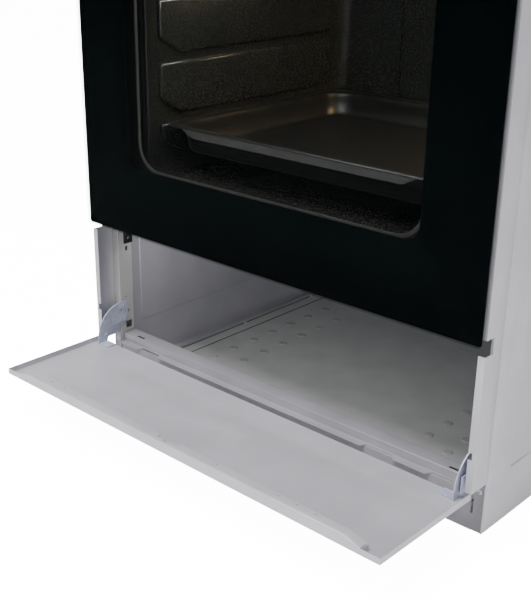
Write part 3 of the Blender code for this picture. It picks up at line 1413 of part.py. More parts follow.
def build():
    clear_scene()
    look = finishes()
    case = axis_empty("range_frame", (0, -(BODY_DEPTH + FLAP_FRONT_Y) / 2, 0), None)
    del case["at"]
    sides = ((-1, "left"), (1, "right"))

    for side, word in sides:
        side_panel(side, f"side_panel_{word}", look, case)
        corner_post(side, f"corner_post_{word}", look, case)
        flap_pivot_bracket(side, f"flap_pivot_bracket_{word}", look, case)
        hinge_claw(side, f"hinge_claw_{word}", look, case)
        pan_grate(side, f"pan_grate_{word}", look, case)
        for y, place in zip(foot_ys(), ("front", "rear")):
            levelling_foot(f"foot_{place}_{word}", side * foot_x(), y, look, case)
    rear_panel(look, case)
    storage_floor(look, case)
    plinth_panel(look, case)
    front_rail(look, case)
    storage_ceiling(look, case)

    oven_cavity(look, case)
    oven_front_frame(look, case)
    door_seal(look, case)
    oven_floor_plate(look, case)
    oven_burner(look, case)
    grill_burner(look, case)
    oven_lamp(look, case)
    baking_tray(look, case)
    wire_rack(look, case)

    door_pivot = (0, DOOR_AXIS_Y, DOOR_AXIS_Z)
    door = axis_empty("oven_door_axis", door_pivot, case)
    door_outer_glass(look, door, door_pivot)
    door_inner_glass(look, door, door_pivot)
    door_inner_frame(look, door, door_pivot)
    door_top_trim(look, door, door_pivot)
    door_handle(look, door, door_pivot)
    for side, word in sides:
        door_side_channel(side, f"door_side_channel_{word}", look, door, door_pivot)

    flap_pivot = (0, FLAP_AXIS_Y, FLAP_AXIS_Z)
    flap = axis_empty("storage_flap_axis", flap_pivot, case)
    flap_panel(look, flap, flap_pivot)
    for side, word in sides:
        flap_hinge_arm(side, f"flap_hinge_arm_{word}", look, flap, flap_pivot)

    control_panel(look, case)
    gas_manifold(look, case)
    for index, x in enumerate(knob_xs(), 1):
        tap_stem(index, x, look, case)
        knob(index, x, look, case)
    lamp_button(look, case)

    hob_top(look, case)
    for index, spot in enumerate(burner_spots(), 1):
        burner_head(index, spot, look, case)
        burner_cap(index, spot, look, case)


build()
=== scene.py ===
"""Looks of a freestanding gas range with a storage compartment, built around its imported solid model.

The solid model gives every place: X runs across the range, Y from its front backwards and Z up.
Sheet metal keeps its shape and gets eased folds, and this script adds the finishes, the layered door glass,
the pressed oven liner, the fasteners and the small hob parts.
"""

import json
import math

import bmesh
import bpy
from mathutils import Matrix, Vector


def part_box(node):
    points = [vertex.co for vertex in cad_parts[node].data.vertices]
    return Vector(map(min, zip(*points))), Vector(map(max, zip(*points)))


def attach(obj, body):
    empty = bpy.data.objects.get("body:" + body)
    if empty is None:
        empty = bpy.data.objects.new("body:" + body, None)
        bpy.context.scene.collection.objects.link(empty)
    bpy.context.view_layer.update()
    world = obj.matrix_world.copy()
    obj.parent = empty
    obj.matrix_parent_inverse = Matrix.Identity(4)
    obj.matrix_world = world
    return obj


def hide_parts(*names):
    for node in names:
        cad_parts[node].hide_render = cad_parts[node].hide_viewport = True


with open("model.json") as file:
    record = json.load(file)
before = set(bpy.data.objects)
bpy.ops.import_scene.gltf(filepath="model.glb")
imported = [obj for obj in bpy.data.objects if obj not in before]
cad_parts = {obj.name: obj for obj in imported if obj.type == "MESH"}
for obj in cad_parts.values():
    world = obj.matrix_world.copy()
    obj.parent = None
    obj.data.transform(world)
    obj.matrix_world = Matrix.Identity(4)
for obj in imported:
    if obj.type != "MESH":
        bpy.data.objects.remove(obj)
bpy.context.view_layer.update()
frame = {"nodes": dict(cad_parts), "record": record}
nodes = frame["nodes"]


def corners(name):
    """The low and high corner of a node's box."""
    low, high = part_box(name)
    return Vector(low), Vector(high)


PANEL_LOW, PANEL_HIGH = corners("side_panel_right")
FACE = PANEL_LOW.y  # the plane of the side panels' front flanges
HALF = PANEL_HIGH.x
BACK = PANEL_HIGH.y
GLASS_LOW, GLASS_HIGH = corners("door_outer_glass")
OVEN_LOW, OVEN_HIGH = corners("oven_cavity")
TRAY_LOW, TRAY_HIGH = corners("baking_tray")
FLAP_LOW = corners("flap_panel")[0]
SHEET = 0.001
FLAP_SHEET = 0.0008
ARM_SHEET = 0.0015
EASE = 0.0002  # bevel on cut sheet edges
FOLD = 0.0009  # outer radius of a fold in 1 mm sheet
PANEL_FOLD = 0.0008
FLAP_FOLD = 0.0007
SIDES = ((-1, "left"), (1, "right"))


# Camera and stage ------------------------------------------------------------------------------------

camera_data = bpy.data.cameras.new("camera")
camera = bpy.data.objects.new("camera", camera_data)
bpy.context.scene.collection.objects.link(camera)
camera.location = (0.7494, FACE - 0.8196, 0.6347)
camera.rotation_euler = (math.radians(90 - 22.428), 0, math.radians(44.118))
camera_data.sensor_width = 36
camera_data.lens = 61.46
camera_data.shift_x = 0.0604
camera_data.shift_y = 0.0295
camera_data.clip_start = 0.01
bpy.context.scene.camera = camera


# Materials -------------------------------------------------------------------------------------------


def linear(colour):
    """An sRGB hex colour as linear red, green, blue and alpha."""
    channels = [int(colour[i : i + 2], 16) / 255 for i in (0, 2, 4)]
    return (*[c / 12.92 if c <= 0.04045 else ((c + 0.055) / 1.055) ** 2.4 for c in channels], 1)


def put(tree, kind, sockets=None, **settings):
    """Adds a shader node. sockets gives each input a value, or the output that feeds it."""
    made = tree.nodes.new("ShaderNode" + kind)
    for name, value in settings.items():
        setattr(made, name, value)
    for name, value in (sockets or {}).items():
        if isinstance(value, bpy.types.NodeSocket):
            tree.links.new(value, made.inputs[name])
        else:
            made.inputs[name].default_value = value
    return made


def finish(
    name, dark, light, patch, grain, rough, bump, metallic=0.0, stretch=(1, 1, 1), fleck=None, **shader
):
    """A material whose colour drifts between two hex values, with a finer grain in gloss and relief.

    patch and grain are sizes in millimetres, rough is the range of roughness and bump the grain's height in
    millimetres. fleck is (hex colour, size in millimetres, share of the surface) for specks in the finish.
    """
    made = bpy.data.materials.new(name)
    made.use_nodes = True
    tree = made.node_tree
    base = tree.nodes["Principled BSDF"]
    place = put(tree, "TexCoord").outputs["Object"]
    run = put(tree, "Mapping", {"Vector": place, "Scale": stretch}).outputs["Vector"]
    drift = put(tree, "TexNoise", {"Vector": run, "Scale": 1000 / patch, "Detail": 3.0})
    tone = put(tree, "ValToRGB", {"Fac": drift.outputs["Fac"]})
    tone.color_ramp.elements[0].position = 0.35
    tone.color_ramp.elements[0].color = linear(dark)
    tone.color_ramp.elements[1].position = 0.65
    tone.color_ramp.elements[1].color = linear(light)
    colour = tone.outputs["Color"]
    if fleck:
        cells = put(tree, "TexVoronoi", {"Vector": place, "Scale": 1000 / fleck[1]})
        speck = put(tree, "Math", {0: cells.outputs["Distance"], 1: fleck[2]}, operation="LESS_THAN")
        mixed = put(tree, "Mix", {"Factor": speck.outputs["Value"]}, data_type="RGBA")
        tree.links.new(colour, mixed.inputs[6])
        mixed.inputs[7].default_value = linear(fleck[0])
        colour = mixed.outputs[2]
    fine = put(tree, "TexNoise", {"Vector": run, "Scale": 1000 / grain, "Detail": 2.0})
    gloss = put(tree, "MapRange", {"Value": fine.outputs["Fac"], "To Min": rough[0], "To Max": rough[1]})
    tree.links.new(colour, base.inputs["Base Color"])
    tree.links.new(gloss.outputs["Result"], base.inputs["Roughness"])
    if bump:
        relief = put(tree, "Bump", {"Height": fine.outputs["Fac"], "Distance": bump * 0.001, "Strength": 1.0})
        tree.links.new(relief.outputs["Normal"], base.inputs["Normal"])
    base.inputs["Metallic"].default_value = metallic
    for socket, value in shader.items():
        base.inputs[socket.replace("_", " ")].default_value = value
    return made


# Powder coat on sheet steel: even satin grey with a fine orange peel about 1 mm across.
powder_coat = finish("powder_coat_silver", "ADACB3", "B5B4BB", 60, 1.2, (0.34, 0.42), 0.008, 0.35, IOR=1.5)
# The same coat inside the compartment, duller because less is sprayed there; its colour a shade darker is painted
# shade for the compartment's interior.
inner_coat_painted_shade = finish("powder_coat_thin_painted_shade", "A4A4A3", "ACACAB", 45, 1.2, (0.46, 0.56), 0.012, 0.15, IOR=1.5)
# The powder coat a shade darker for the plinth and the front rail: painted shade on these forward faces, which
# the light from above leaves in shadow.
painted_shade_coat = finish("powder_coat_painted_shade", "7F7E84", "87868C", 60, 1.2, (0.42, 0.52), 0.01, 0.2, IOR=1.5)
# Dark strips in the gaps beside the storage floor: painted shade.
seam_shade = finish("painted_seam_shade", "343436", "3E3E40", 20, 1.2, (0.50, 0.62), 0.0, 0.4)
# Bright zinc plate: a cold bluish metal, softly mottled.
zinc_plate = finish("zinc_plated_steel", "A6AABD", "B8BCCE", 9, 0.8, (0.34, 0.46), 0.004, 0.35)
# Galvanised sheet: large pale spangle.
galvanised = finish("galvanised_sheet", "8E9296", "A8ACB0", 9, 1.5, (0.38, 0.55), 0.010, 0.85)
# Tempered float glass, black-green in the body and nearly mirror smooth.
tinted_glass = finish(
    "tinted_float_glass", "010202", "010303", 120, 40, (0.05, 0.07), 0.0,
    IOR=1.52, Alpha=0.22, Specular_IOR_Level=0.035,
)
# Ceramic ink fired on the back of the glass: dense black.
ceramic_ink = finish(
    "fired_black_ink", "030707", "050A0A", 90, 2.0, (0.30, 0.36), 0.0, Specular_IOR_Level=0.0
)
# Clear inner door glass.
inner_glass = finish(
    "clear_float_glass", "020303", "030404", 120, 40, (0.02, 0.03), 0.0,
    IOR=1.52, Alpha=0.06, Specular_IOR_Level=0.04,
)
# Vitreous enamel: glossy dark green-grey glass on steel.
enamel = finish(
    "black_vitreous_enamel", "2A2B29", "30312E", 40, 2.2, (0.24, 0.30), 0.0,
    Coat_Weight=0.3, Coat_Roughness=0.12,
)
# The oven's front frame has the dark ground coat only.
ground_coat = finish("enamel_ground_coat", "0E0F10", "131415", 40, 2.0, (0.30, 0.40), 0.0)
# The tray's enamel is rougher and carries pale specks.
tray_enamel = finish(
    "speckled_tray_enamel", "121312", "181918", 18, 1.6, (0.34, 0.46), 0.015, fleck=("4A483F", 1.5, 0.10)
)
# A lighter grey enamel for the tray's front lip; on the rolled edges at the oven mouth the same grey is a painted
# highlight.
pale_enamel_and_highlight = finish("pale_grey_enamel_and_painted_highlight", "464646", "4E4E4E", 30, 1.4, (0.36, 0.46), 0.01)
# Matt enamel on cast pan supports.
cast_enamel = finish("matt_black_enamel", "131313", "1B1B1B", 12, 1.4, (0.45, 0.62), 0.05)
# Moulded heat-proof rubber and woven gasket.
rubber = finish("moulded_rubber", "1A1A1C", "232325", 10, 0.9, (0.60, 0.75), 0.03)
gasket = finish("woven_gasket", "3C3B38", "4A4945", 3, 1.0, (0.55, 0.70), 0.08)
# Black heat-proof coating on steel.
black_steel = finish("black_coated_steel", "141416", "1E1E20", 20, 1.0, (0.38, 0.52), 0.015, 0.3)
# Chrome-plated wire.
chrome = finish("chrome_plate", "B8B8BA", "CECED0", 30, 3.0, (0.08, 0.16), 0.002, 1.0)
# Brushed and anodised aluminium: fine lines along the bar.
brushed = finish("brushed_aluminium", "9C9C9E", "BCBCBE", 1.2, 0.5, (0.24, 0.38), 0.006, 1.0, (0.03, 1, 1))
# Cast aluminium burner bodies: dull grain.
cast_aluminium = finish("cast_aluminium", "8E8E90", "A4A4A6", 8, 0.8, (0.42, 0.58), 0.03, 0.9)
# Machined brass.
brass = finish("machined_brass", "9C7A3C", "B8944E", 12, 0.7, (0.28, 0.42), 0.008, 1.0)
# Moulded ABS knobs.
knob_plastic = finish("moulded_abs", "323335", "3C3D3F", 15, 0.8, (0.36, 0.46), 0.012, IOR=1.46)
white_ink = finish("white_print", "D8D8D8", "E4E4E4", 20, 2.0, (0.40, 0.50), 0.0)
# Electrode ceramic.
ceramic = finish("glazed_white_ceramic", "D6D2C6", "E2DED4", 6, 1.5, (0.18, 0.26), 0.006)
# Frosted lamp glass, warm because the lamp behind it is lit.
lamp_glass = finish(
    "lit_lamp_glass", "E8D9B8", "F2E4C6", 10, 2.0, (0.25, 0.35), 0.01,
    Emission_Color=linear("FFB35A"), Emission_Strength=2.5,
)
# Pale floor, bright to the camera only, so that it meets the backdrop without an edge.
BACKDROP = 14.0
floor_paint = finish(
    "floor_paint", "F4F4F4", "FAFAFA", 300, 6.0, (0.75, 0.85), 0.0, Emission_Color=linear("FFFFFF")
)
paint = floor_paint.node_tree
sight = put(paint, "LightPath")
lit = put(paint, "MapRange", {"Value": sight.outputs["Is Camera Ray"], "To Min": 0.1, "To Max": BACKDROP})
paint.links.new(lit.outputs["Result"], paint.nodes["Principled BSDF"].inputs["Emission Strength"])


# Shaping helpers -------------------------------------------------------------------------------------


def piece(name, bm, look, body, replaces=(), smooth=30, bevel=0, segments=2):
    """Ends a mesh: merges doubles, turns normals out, shades, eases edges and rides it on a body."""
    bmesh.ops.remove_doubles(bm, verts=bm.verts, dist=1e-6)
    bmesh.ops.recalc_face_normals(bm, faces=bm.faces)
    return place_piece(name, bm, look, body, replaces, smooth, bevel, segments)


def place_piece(name, bm, look, body, replaces, smooth, bevel, segments):
    """The same without touching the mesh first, for copies of nodes that are already closed."""
    mesh = bpy.data.meshes.new(name)
    bm.to_mesh(mesh)
    bm.free()
    mesh.materials.append(look)
    mesh.shade_smooth()
    mesh.set_sharp_from_angle(angle=math.radians(smooth))
    made = bpy.data.objects.new(name, mesh)
    bpy.context.scene.collection.objects.link(made)
    if bevel:
        eased = made.modifiers.new("eased", "BEVEL")
        eased.width = bevel
        eased.segments = segments
        eased.limit_method = "ANGLE"
        eased.angle_limit = math.radians(40)
    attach(made, body)
    if replaces:
        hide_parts(*replaces)
    return made


def body_of(name):
    groups = frame["record"]["behaviour"]["bodies"]
    return next(body for body, members in groups.items() if name in members)


def merged(name):
    """A bmesh of a solid node with its flat faces whole again."""
    bm = bmesh.new()
    bm.from_mesh(nodes[name].data)
    bmesh.ops.remove_doubles(bm, verts=bm.verts, dist=1e-6)
    bmesh.ops.dissolve_limit(bm, angle_limit=math.radians(0.5), verts=bm.verts, edges=bm.edges)
    return bm


def round_folds(bm, radius, sheet):
    """Rounds the outer side of every fold of a sheet, and leaves its cut edges."""
    bm.normal_update()

    def broad(face):
        return 2 * face.calc_area() / face.calc_perimeter() > 1.3 * sheet

    folds = [
        edge for edge in bm.edges
        if len(edge.link_faces) == 2
        and edge.calc_face_angle_signed(0) > math.radians(60)
        and all(broad(face) for face in edge.link_faces)
        and edge.calc_length() > 0.010
    ]
    bmesh.ops.bevel(
        bm, geom=folds, offset=radius, offset_type="OFFSET", segments=3, profile=0.5, affect="EDGES",
        clamp_overlap=True, material=-1,
    )


def eased(name, look, bevel=0.0004, shape=None, segments=2, fold=0.0, sheet=SHEET):
    """Replaces a node by a copy with eased edges and rounded folds, after shape(bm) has pressed details in."""
    bm = merged(name)
    if shape:
        shape(bm)
    if fold:
        round_folds(bm, fold, sheet)
    place_piece(f"{name}_finished", bm, look, body_of(name), (name,), 30, bevel, segments)


def coat(name, look):
    """Gives a node that keeps its own solid its finish."""
    nodes[name].data.materials.clear()
    nodes[name].data.materials.append(look)


def rounded_face(bm, half_u, half_v, radius, place, steps=6):
    """A flat face with round corners in the XY plane, put in place."""
    made = bmesh.ops.create_grid(bm, x_segments=1, y_segments=1, size=0.5)["verts"]
    bmesh.ops.scale(bm, verts=made, vec=(2 * half_u, 2 * half_v, 1))
    turned = bmesh.ops.bevel(
        bm, geom=made, offset=radius, offset_type="OFFSET", segments=steps, profile=0.5, affect="VERTICES",
        material=-1,
    )
    corners_made = set(turned["verts"])
    face = max((f for f in bm.faces if corners_made & set(f.verts)), key=lambda f: f.calc_area())
    bmesh.ops.transform(bm, matrix=place, verts=face.verts)
    return face


def grow(bm, face, along, outward, axes):
    """Extrudes a face, moves it along a vector and widens it by outward metres in the two axes it lies in."""
    made = bmesh.ops.extrude_face_region(bm, geom=[face])["geom"]
    new = next(item for item in made if isinstance(item, bmesh.types.BMFace))
    middle = new.calc_center_median()
    for axis in axes:
        half = max(abs(v.co[axis] - middle[axis]) for v in new.verts)
        share = (half + outward) / half
        for v in new.verts:
            v.co[axis] = middle[axis] + (v.co[axis] - middle[axis]) * share
    bmesh.ops.translate(bm, verts=new.verts, vec=along)
    if face.is_valid:
        bmesh.ops.delete(bm, geom=[face], context="FACES_ONLY")
    return new


def stepped(name, first, steps, look, body, replaces, axes=(0, 1), smooth=40):
    """A pressed pan: a rounded floor grown through steps of (move, outward), left open at the end."""
    bm = bmesh.new()
    half_u, half_v, radius, place = first
    face = rounded_face(bm, half_u, half_v, radius, place)
    made = bmesh.ops.extrude_face_region(bm, geom=[face], use_keep_orig=True)["geom"]
    top = next(item for item in made if isinstance(item, bmesh.types.BMFace))
    for along, outward in steps:
        top = grow(bm, top, along, outward, axes)
    bmesh.ops.delete(bm, geom=[top], context="FACES_ONLY")
    solid = piece(name, bm, look, body, replaces, smooth)
    thick = solid.modifiers.new("wall", "SOLIDIFY")
    thick.thickness = SHEET
    thick.offset = 0
    thick.use_even_offset = True


def lathe(bm, profile, place, steps=24):
    """A closed turned solid from (radius, height) points about Z, put in place."""
    before = set(bm.verts)
    points = [bm.verts.new((radius, 0, height)) for radius, height in profile]
    ends = list(zip(points, points[1:]))
    if profile[0][0] > 0:
        ends.append((points[-1], points[0]))
    edges = [bm.edges.new(pair) for pair in ends]
    bmesh.ops.spin(
        bm, geom=points + edges, cent=(0, 0, 0), axis=(0, 0, 1), angle=2 * math.pi, steps=steps, use_merge=True
    )
    made = [v for v in bm.verts if v not in before]
    bmesh.ops.remove_doubles(bm, verts=made, dist=1e-6)
    made = [v for v in bm.verts if v not in before]
    bmesh.ops.transform(bm, matrix=place, verts=made)


def slab(bm, low, high, place=Matrix.Identity(4)):
    """A block between any two opposite corners."""
    low, high = Vector(low), Vector(high)
    size = Matrix.Diagonal((*(abs(extent) for extent in high - low), 1))
    return bmesh.ops.create_cube(bm, size=1, matrix=place @ Matrix.Translation((low + high) / 2) @ size)["verts"]


def facing(direction, at):
    """Placement that turns +Z to a direction."""
    return Matrix.Translation(at) @ Vector(direction).to_track_quat("Z", "Y").to_matrix().to_4x4()


def screws(name, places, look, body, radius=0.0034):
    """Pan-head screws with a round recess, each given by its seat and the way its head points."""
    bm = bmesh.new()
    shares = [(0, 0.10), (0.22, 0.10), (0.30, 0.52), (0.62, 0.46), (0.92, 0.24), (1, 0.06), (1.25, 0), (0, 0)]
    head = [(radius * out, radius * up) for out, up in shares]
    for at, direction in places:
        lathe(bm, head, facing(direction, at), 12)
    return piece(name, bm, look, body)


# Case ------------------------------------------------------------------------------------------------


def press(bm, side, region, depth, slope):
    """Presses a rectangle of a side wall, given as ((y, z) low, (y, z) high), inwards by depth."""
    (y0, z0), (y1, z1) = region
    cuts = [((0, y, 0), (0, 1, 0)) for y in (y0, y1)] + [((0, 0, z), (0, 0, 1)) for z in (z0, z1)]
    for at, normal in cuts:
        geometry = bm.verts[:] + bm.edges[:] + bm.faces[:]
        bmesh.ops.bisect_plane(bm, geom=geometry, plane_co=at, plane_no=normal, dist=1e-7)
    wall = side * (HALF - SHEET / 2)
    for outer in (True, False):
        found = []
        for face in bm.faces:
            middle = face.calc_center_median()
            inside = y0 < middle.y < y1 and z0 < middle.z < z1 and abs(middle.x - wall) < SHEET
            if inside and (face.normal.x * side > 0.9) == outer and abs(face.normal.x) > 0.9:
                found.append(face)
        bmesh.ops.inset_region(bm, faces=found, thickness=slope, depth=-depth if outer else depth)


def crease(bm, side, y, half_width, depth):
    """A shallow V-groove up a side wall."""
    for at in (y - half_width, y, y + half_width):
        geometry = bm.verts[:] + bm.edges[:] + bm.faces[:]
        bmesh.ops.bisect_plane(bm, geom=geometry, plane_co=(0, at, 0), plane_no=(0, 1, 0), dist=1e-7)
    for v in bm.verts:
        if abs(v.co.y - y) < 1e-6 and v.co.x * side > HALF - 2 * SHEET:
            v.co.x -= side * depth


PRESSING = ((FACE + 0.0785, 0.0655), (BACK - 0.060, 0.740))
PRESSING_DEPTH, PRESSING_SLOPE = 0.0013, 0.0016
CREASE_Y = FACE + 0.0315
CREASE_HALF, CREASE_DEPTH = 0.0006, 0.0003


def side_shape(bm, side):
    """The large pressing and the crease near the front edge of a side panel."""
    press(bm, side, PRESSING, PRESSING_DEPTH, PRESSING_SLOPE)
    crease(bm, side, CREASE_Y, CREASE_HALF, CREASE_DEPTH)


for side, word in SIDES:
    eased(f"side_panel_{word}", powder_coat, EASE, lambda bm, side=side: side_shape(bm, side), fold=PANEL_FOLD)
    eased(f"corner_post_{word}", inner_coat_painted_shade, EASE, fold=FOLD)
    eased(f"flap_pivot_bracket_{word}", zinc_plate, EASE)
    eased(f"hinge_claw_{word}", black_steel, 0.0006)
    eased(f"flap_hinge_arm_{word}", zinc_plate, 0.00025)

eased("storage_floor", inner_coat_painted_shade, 0.0003)
# Painted shade: the plinth and the front rail take the darker copy of the powder coat.
eased("plinth_panel", painted_shade_coat, EASE)
eased("front_rail", painted_shade_coat, EASE, fold=FOLD)
eased("rear_panel", galvanised, EASE)
coat("storage_ceiling", galvanised)


def floor_dimples():
    """Rows of round pressed pads in the storage floor, 7 mm in radius and 0.9 mm high."""
    low, high = corners("storage_floor")
    top = low.z + SHEET
    # The first pad's distance behind FACE, and the number of pads.
    long_row, short_row = (0.1513, 7), (0.1719, 6)
    rows = [(-0.2245, long_row), (-0.1830, short_row), (0.1375, short_row), (0.1790, long_row)]
    bm = bmesh.new()
    radius, rise, pitch, sunk = 0.0072, 0.0009, 0.0432, -0.0004
    dome = [(radius * 0.86, rise * 0.7), (radius * 0.6, rise), (0, rise)]
    profile = [(0, sunk), (radius, sunk), (radius, 0)] + dome
    for x, (y, count) in rows:
        for step in range(count):
            lathe(bm, profile, Matrix.Translation((x, FACE + y + step * pitch, top)), 20)
    piece("storage_floor_pads", bm, inner_coat_painted_shade, "case", smooth=60)


def floor_shade_strips_and_screws():
    """Dark strips beside the storage floor's folded sides, painted shade for the shadowed gaps there, and the
    screws that hold those sides.
    """
    low, high = corners("storage_floor")
    top = low.z + SHEET
    width, end_gap, sunk, proud = 0.0016, 0.004, 0.0004, 0.0003
    bm = bmesh.new()
    for side in (-1, 1):
        for near in (0.2585, high.x - SHEET - width):
            start = (side * near, low.y + end_gap, top - sunk)
            slab(bm, start, (side * (near + width), high.y - end_gap, top + proud))
    # Painted shade: these dark strips stand for the shadow in the gaps beside the floor.
    piece("storage_floor_painted_shade_strips", bm, seam_shade, "case")
    places = [((x, FACE + y, top), (0, 0, 1)) for x in (-0.2785, 0.2785) for y in (0.2782, 0.4406)]
    screws("storage_floor_screws", places, zinc_plate, "case")


floor_dimples()
floor_shade_strips_and_screws()


# Door ------------------------------------------------------------------------------------------------

WINDOW_HALF = 0.218
WINDOW_LOW = GLASS_LOW.z + 0.089
WINDOW_HIGH = GLASS_HIGH.z - 0.070
PANE = 0.0036
GLASS_CORNER = 0.004
WINDOW_CORNER = 0.016
INK = 0.0002
INK_INSET = 0.0008
door_middle_z = (GLASS_LOW.z + GLASS_HIGH.z) / 2
door_half_z = (GLASS_HIGH.z - GLASS_LOW.z) / 2


def upright(y, z):
    """Placement that stands the XY plane up as XZ, facing forwards."""
    return Matrix.Translation((0, y, z)) @ Matrix.Rotation(math.radians(90), 4, "X")


def extruded(bm, face, along):
    """Makes a closed solid from a face and gives the edges of its moved end."""
    made = bmesh.ops.extrude_face_region(bm, geom=[face], use_keep_orig=True)["geom"]
    bmesh.ops.translate(bm, verts=[v for v in made if isinstance(v, bmesh.types.BMVert)], vec=along)
    return [e for e in made if isinstance(e, bmesh.types.BMEdge)]


def door_glass():
    """The outer pane, its fired black border behind it and the border's window with round corners."""
    bm = bmesh.new()
    half = GLASS_HIGH.x
    face = rounded_face(bm, half, door_half_z, GLASS_CORNER, upright(GLASS_LOW.y, door_middle_z))
    extruded(bm, face, (0, PANE, 0))
    piece("door_glass_pane", bm, tinted_glass, "oven_door", ("door_outer_glass",), 40, 0.0006)
    bm = bmesh.new()
    y = GLASS_LOW.y + PANE + INK
    window_z = (WINDOW_LOW + WINDOW_HIGH) / 2
    outer = rounded_face(bm, half - INK_INSET, door_half_z - INK_INSET, GLASS_CORNER, upright(y, door_middle_z))
    outer_edges = list(outer.edges)
    inner = rounded_face(bm, WINDOW_HALF, (WINDOW_HIGH - WINDOW_LOW) / 2, WINDOW_CORNER, upright(y, window_z))
    inner_edges = list(inner.edges)
    bmesh.ops.delete(bm, geom=[outer, inner], context="FACES_ONLY")
    bmesh.ops.bridge_loops(bm, edges=outer_edges + inner_edges)
    border = piece("door_glass_border", bm, ceramic_ink, "oven_door")
    thick = border.modifiers.new("ink", "SOLIDIFY")
    thick.thickness = INK
    thick.offset = 0


def loop_bar(bm, half_u, half_v, radius, place, bar, steps=6):
    """A closed bar of square section round a rounded rectangle."""
    outer = rounded_face(bm, half_u + bar / 2, half_v + bar / 2, radius + bar / 2, place, steps)
    outer_edges = list(outer.edges)
    inner = rounded_face(bm, half_u - bar / 2, half_v - bar / 2, radius - bar / 2, place, steps)
    inner_edges = list(inner.edges)
    bmesh.ops.delete(bm, geom=[outer, inner], context="FACES_ONLY")
    ring = bmesh.ops.bridge_loops(bm, edges=outer_edges + inner_edges)["faces"]
    made = bmesh.ops.extrude_face_region(bm, geom=ring, use_keep_orig=True)["geom"]
    return [v for v in made if isinstance(v, bmesh.types.BMVert)]


def window_bead():
    """The grey silicone bead that holds the inner pane, round the opening in the door's inner frame."""
    low, high = corners("door_inner_glass")
    bm = bmesh.new()
    half_x, half_z = high.x - 0.0205, (high.z - low.z) / 2 - 0.0245
    place = upright(low.y - 0.0012, (low.z + high.z) / 2)
    back = loop_bar(bm, half_x, half_z, 0.034, place, 0.0046)
    bmesh.ops.translate(bm, verts=back, vec=(0, 0.0011, 0))
    piece("door_window_bead", bm, gasket, "oven_door", bevel=0.0004)


door_glass()
window_bead()
coat("door_inner_glass", inner_glass)
coat("door_seal", gasket)
for part in ("door_inner_frame", "door_top_trim"):
    eased(part, black_steel, 0.0003)
for side, word in SIDES:
    coat(f"door_side_channel_{word}", galvanised)
eased("door_handle", brushed, 0.0008)


# Oven ------------------------------------------------------------------------------------------------

MOUTH_FLANGE = 0.010
CAVITY_ROUNDING = 0.020
CAVITY_HALF = OVEN_HIGH.x - MOUTH_FLANGE
CAVITY_FLOOR = OVEN_LOW.z + MOUTH_FLANGE
CAVITY_ROOF = OVEN_HIGH.z - MOUTH_FLANGE
CAVITY_BACK = OVEN_HIGH.y - SHEET
MOUTH = OVEN_LOW.y + SHEET / 2


def oven_liner():
    """The enamelled liner: a round-cornered box grown backwards from its mouth, with a flange round the mouth."""
    half_z = (CAVITY_ROOF - CAVITY_FLOOR) / 2
    middle = (CAVITY_ROOF + CAVITY_FLOOR) / 2
    depth = CAVITY_BACK - MOUTH
    rounding = CAVITY_ROUNDING
    first = (CAVITY_HALF - rounding, half_z - rounding, rounding, upright(CAVITY_BACK, middle))
    steps = []
    for i in range(1, 6):
        before, after = [math.radians(90 * k / 5) for k in (i - 1, i)]
        back = rounding * (math.cos(before) - math.cos(after))
        steps.append(((0, -back, 0), rounding * (math.sin(after) - math.sin(before))))
    mouth_steps = [(0.0028, 0.0006), (0.0012, 0.0018), (0, MOUTH_FLANGE - 0.0024)]
    steps.append(((0, -(depth - rounding - 0.004), 0), 0))
    steps += [((0, -forward, 0), outward) for forward, outward in mouth_steps]
    stepped("oven_liner", first, steps, enamel, "case", ("oven_cavity",), axes=(0, 2), smooth=50)


def mouth_edge():
    """The rolled edge of the liner at the oven's mouth, painted bright as a highlight."""
    low, high = CAVITY_FLOOR, CAVITY_ROOF
    bm = bmesh.new()
    place = upright(MOUTH - 0.0002, (low + high) / 2)
    back = loop_bar(bm, CAVITY_HALF + 0.0008, (high - low) / 2 + 0.0008, 0.0208, place, 0.0011)
    bmesh.ops.translate(bm, verts=back, vec=(0, 0.0008, 0))
    # Painted highlight: the rolled edge's light grey stands for the light it catches.
    piece("oven_mouth_edge", bm, pale_enamel_and_highlight, "case", bevel=0.0002)


def shelf_pads():
    """Pressed pads on both oven walls with the shelf grooves between them, cut off at the lower front corner."""
    first_shelf, pitch, height = TRAY_LOW.z + 0.034, 0.0761, 0.0655
    front, back = MOUTH + 0.019, CAVITY_BACK - 0.034
    funnel = (0.034, 0.022)
    rise_x, soft = 0.0066, 0.0045
    for side, word in SIDES:
        bm = bmesh.new()
        wall = side * (CAVITY_HALF + SHEET / 4)
        for level in range(5):
            top = first_shelf + level * pitch - 0.0012
            low = max(top - height, CAVITY_FLOOR + 0.028)
            top = min(top, CAVITY_ROOF - 0.028)
            if top - low < 0.018:
                continue
            rise = min(funnel[1], (top - low) * 0.45)
            outline = [(front, low + rise), (front + funnel[0], low), (back, low), (back, top), (front, top)]
            face = bm.faces.new([bm.verts.new((wall, y, z)) for y, z in outline])
            rim = extruded(bm, face, (-side * rise_x, 0, 0))
            bmesh.ops.bevel(bm, geom=rim, offset=soft, segments=4, profile=0.5, affect="EDGES", material=-1)
        piece(f"oven_shelf_pads_{word}", bm, enamel, "case", smooth=50)


def back_pressing():
    """The raised panel in the oven's back wall, with round corners and a soft edge."""
    bm = bmesh.new()
    low, high = CAVITY_FLOOR + 0.052, CAVITY_ROOF - 0.060
    face = rounded_face(bm, 0.115, (high - low) / 2, 0.026, upright(CAVITY_BACK - 0.0002, (low + high) / 2))
    made = bmesh.ops.extrude_face_region(bm, geom=[face], use_keep_orig=True)["geom"]
    top = next(item for item in made if isinstance(item, bmesh.types.BMFace))
    for forward, inward in ((0.0030, 0.0010), (0.0040, 0.0050), (0.0022, 0.0040), (0.0004, 0.0020)):
        top = grow(bm, top, (0, -forward, 0), -inward, (0, 2))
    piece("oven_back_pressing", bm, enamel, "case", smooth=60)


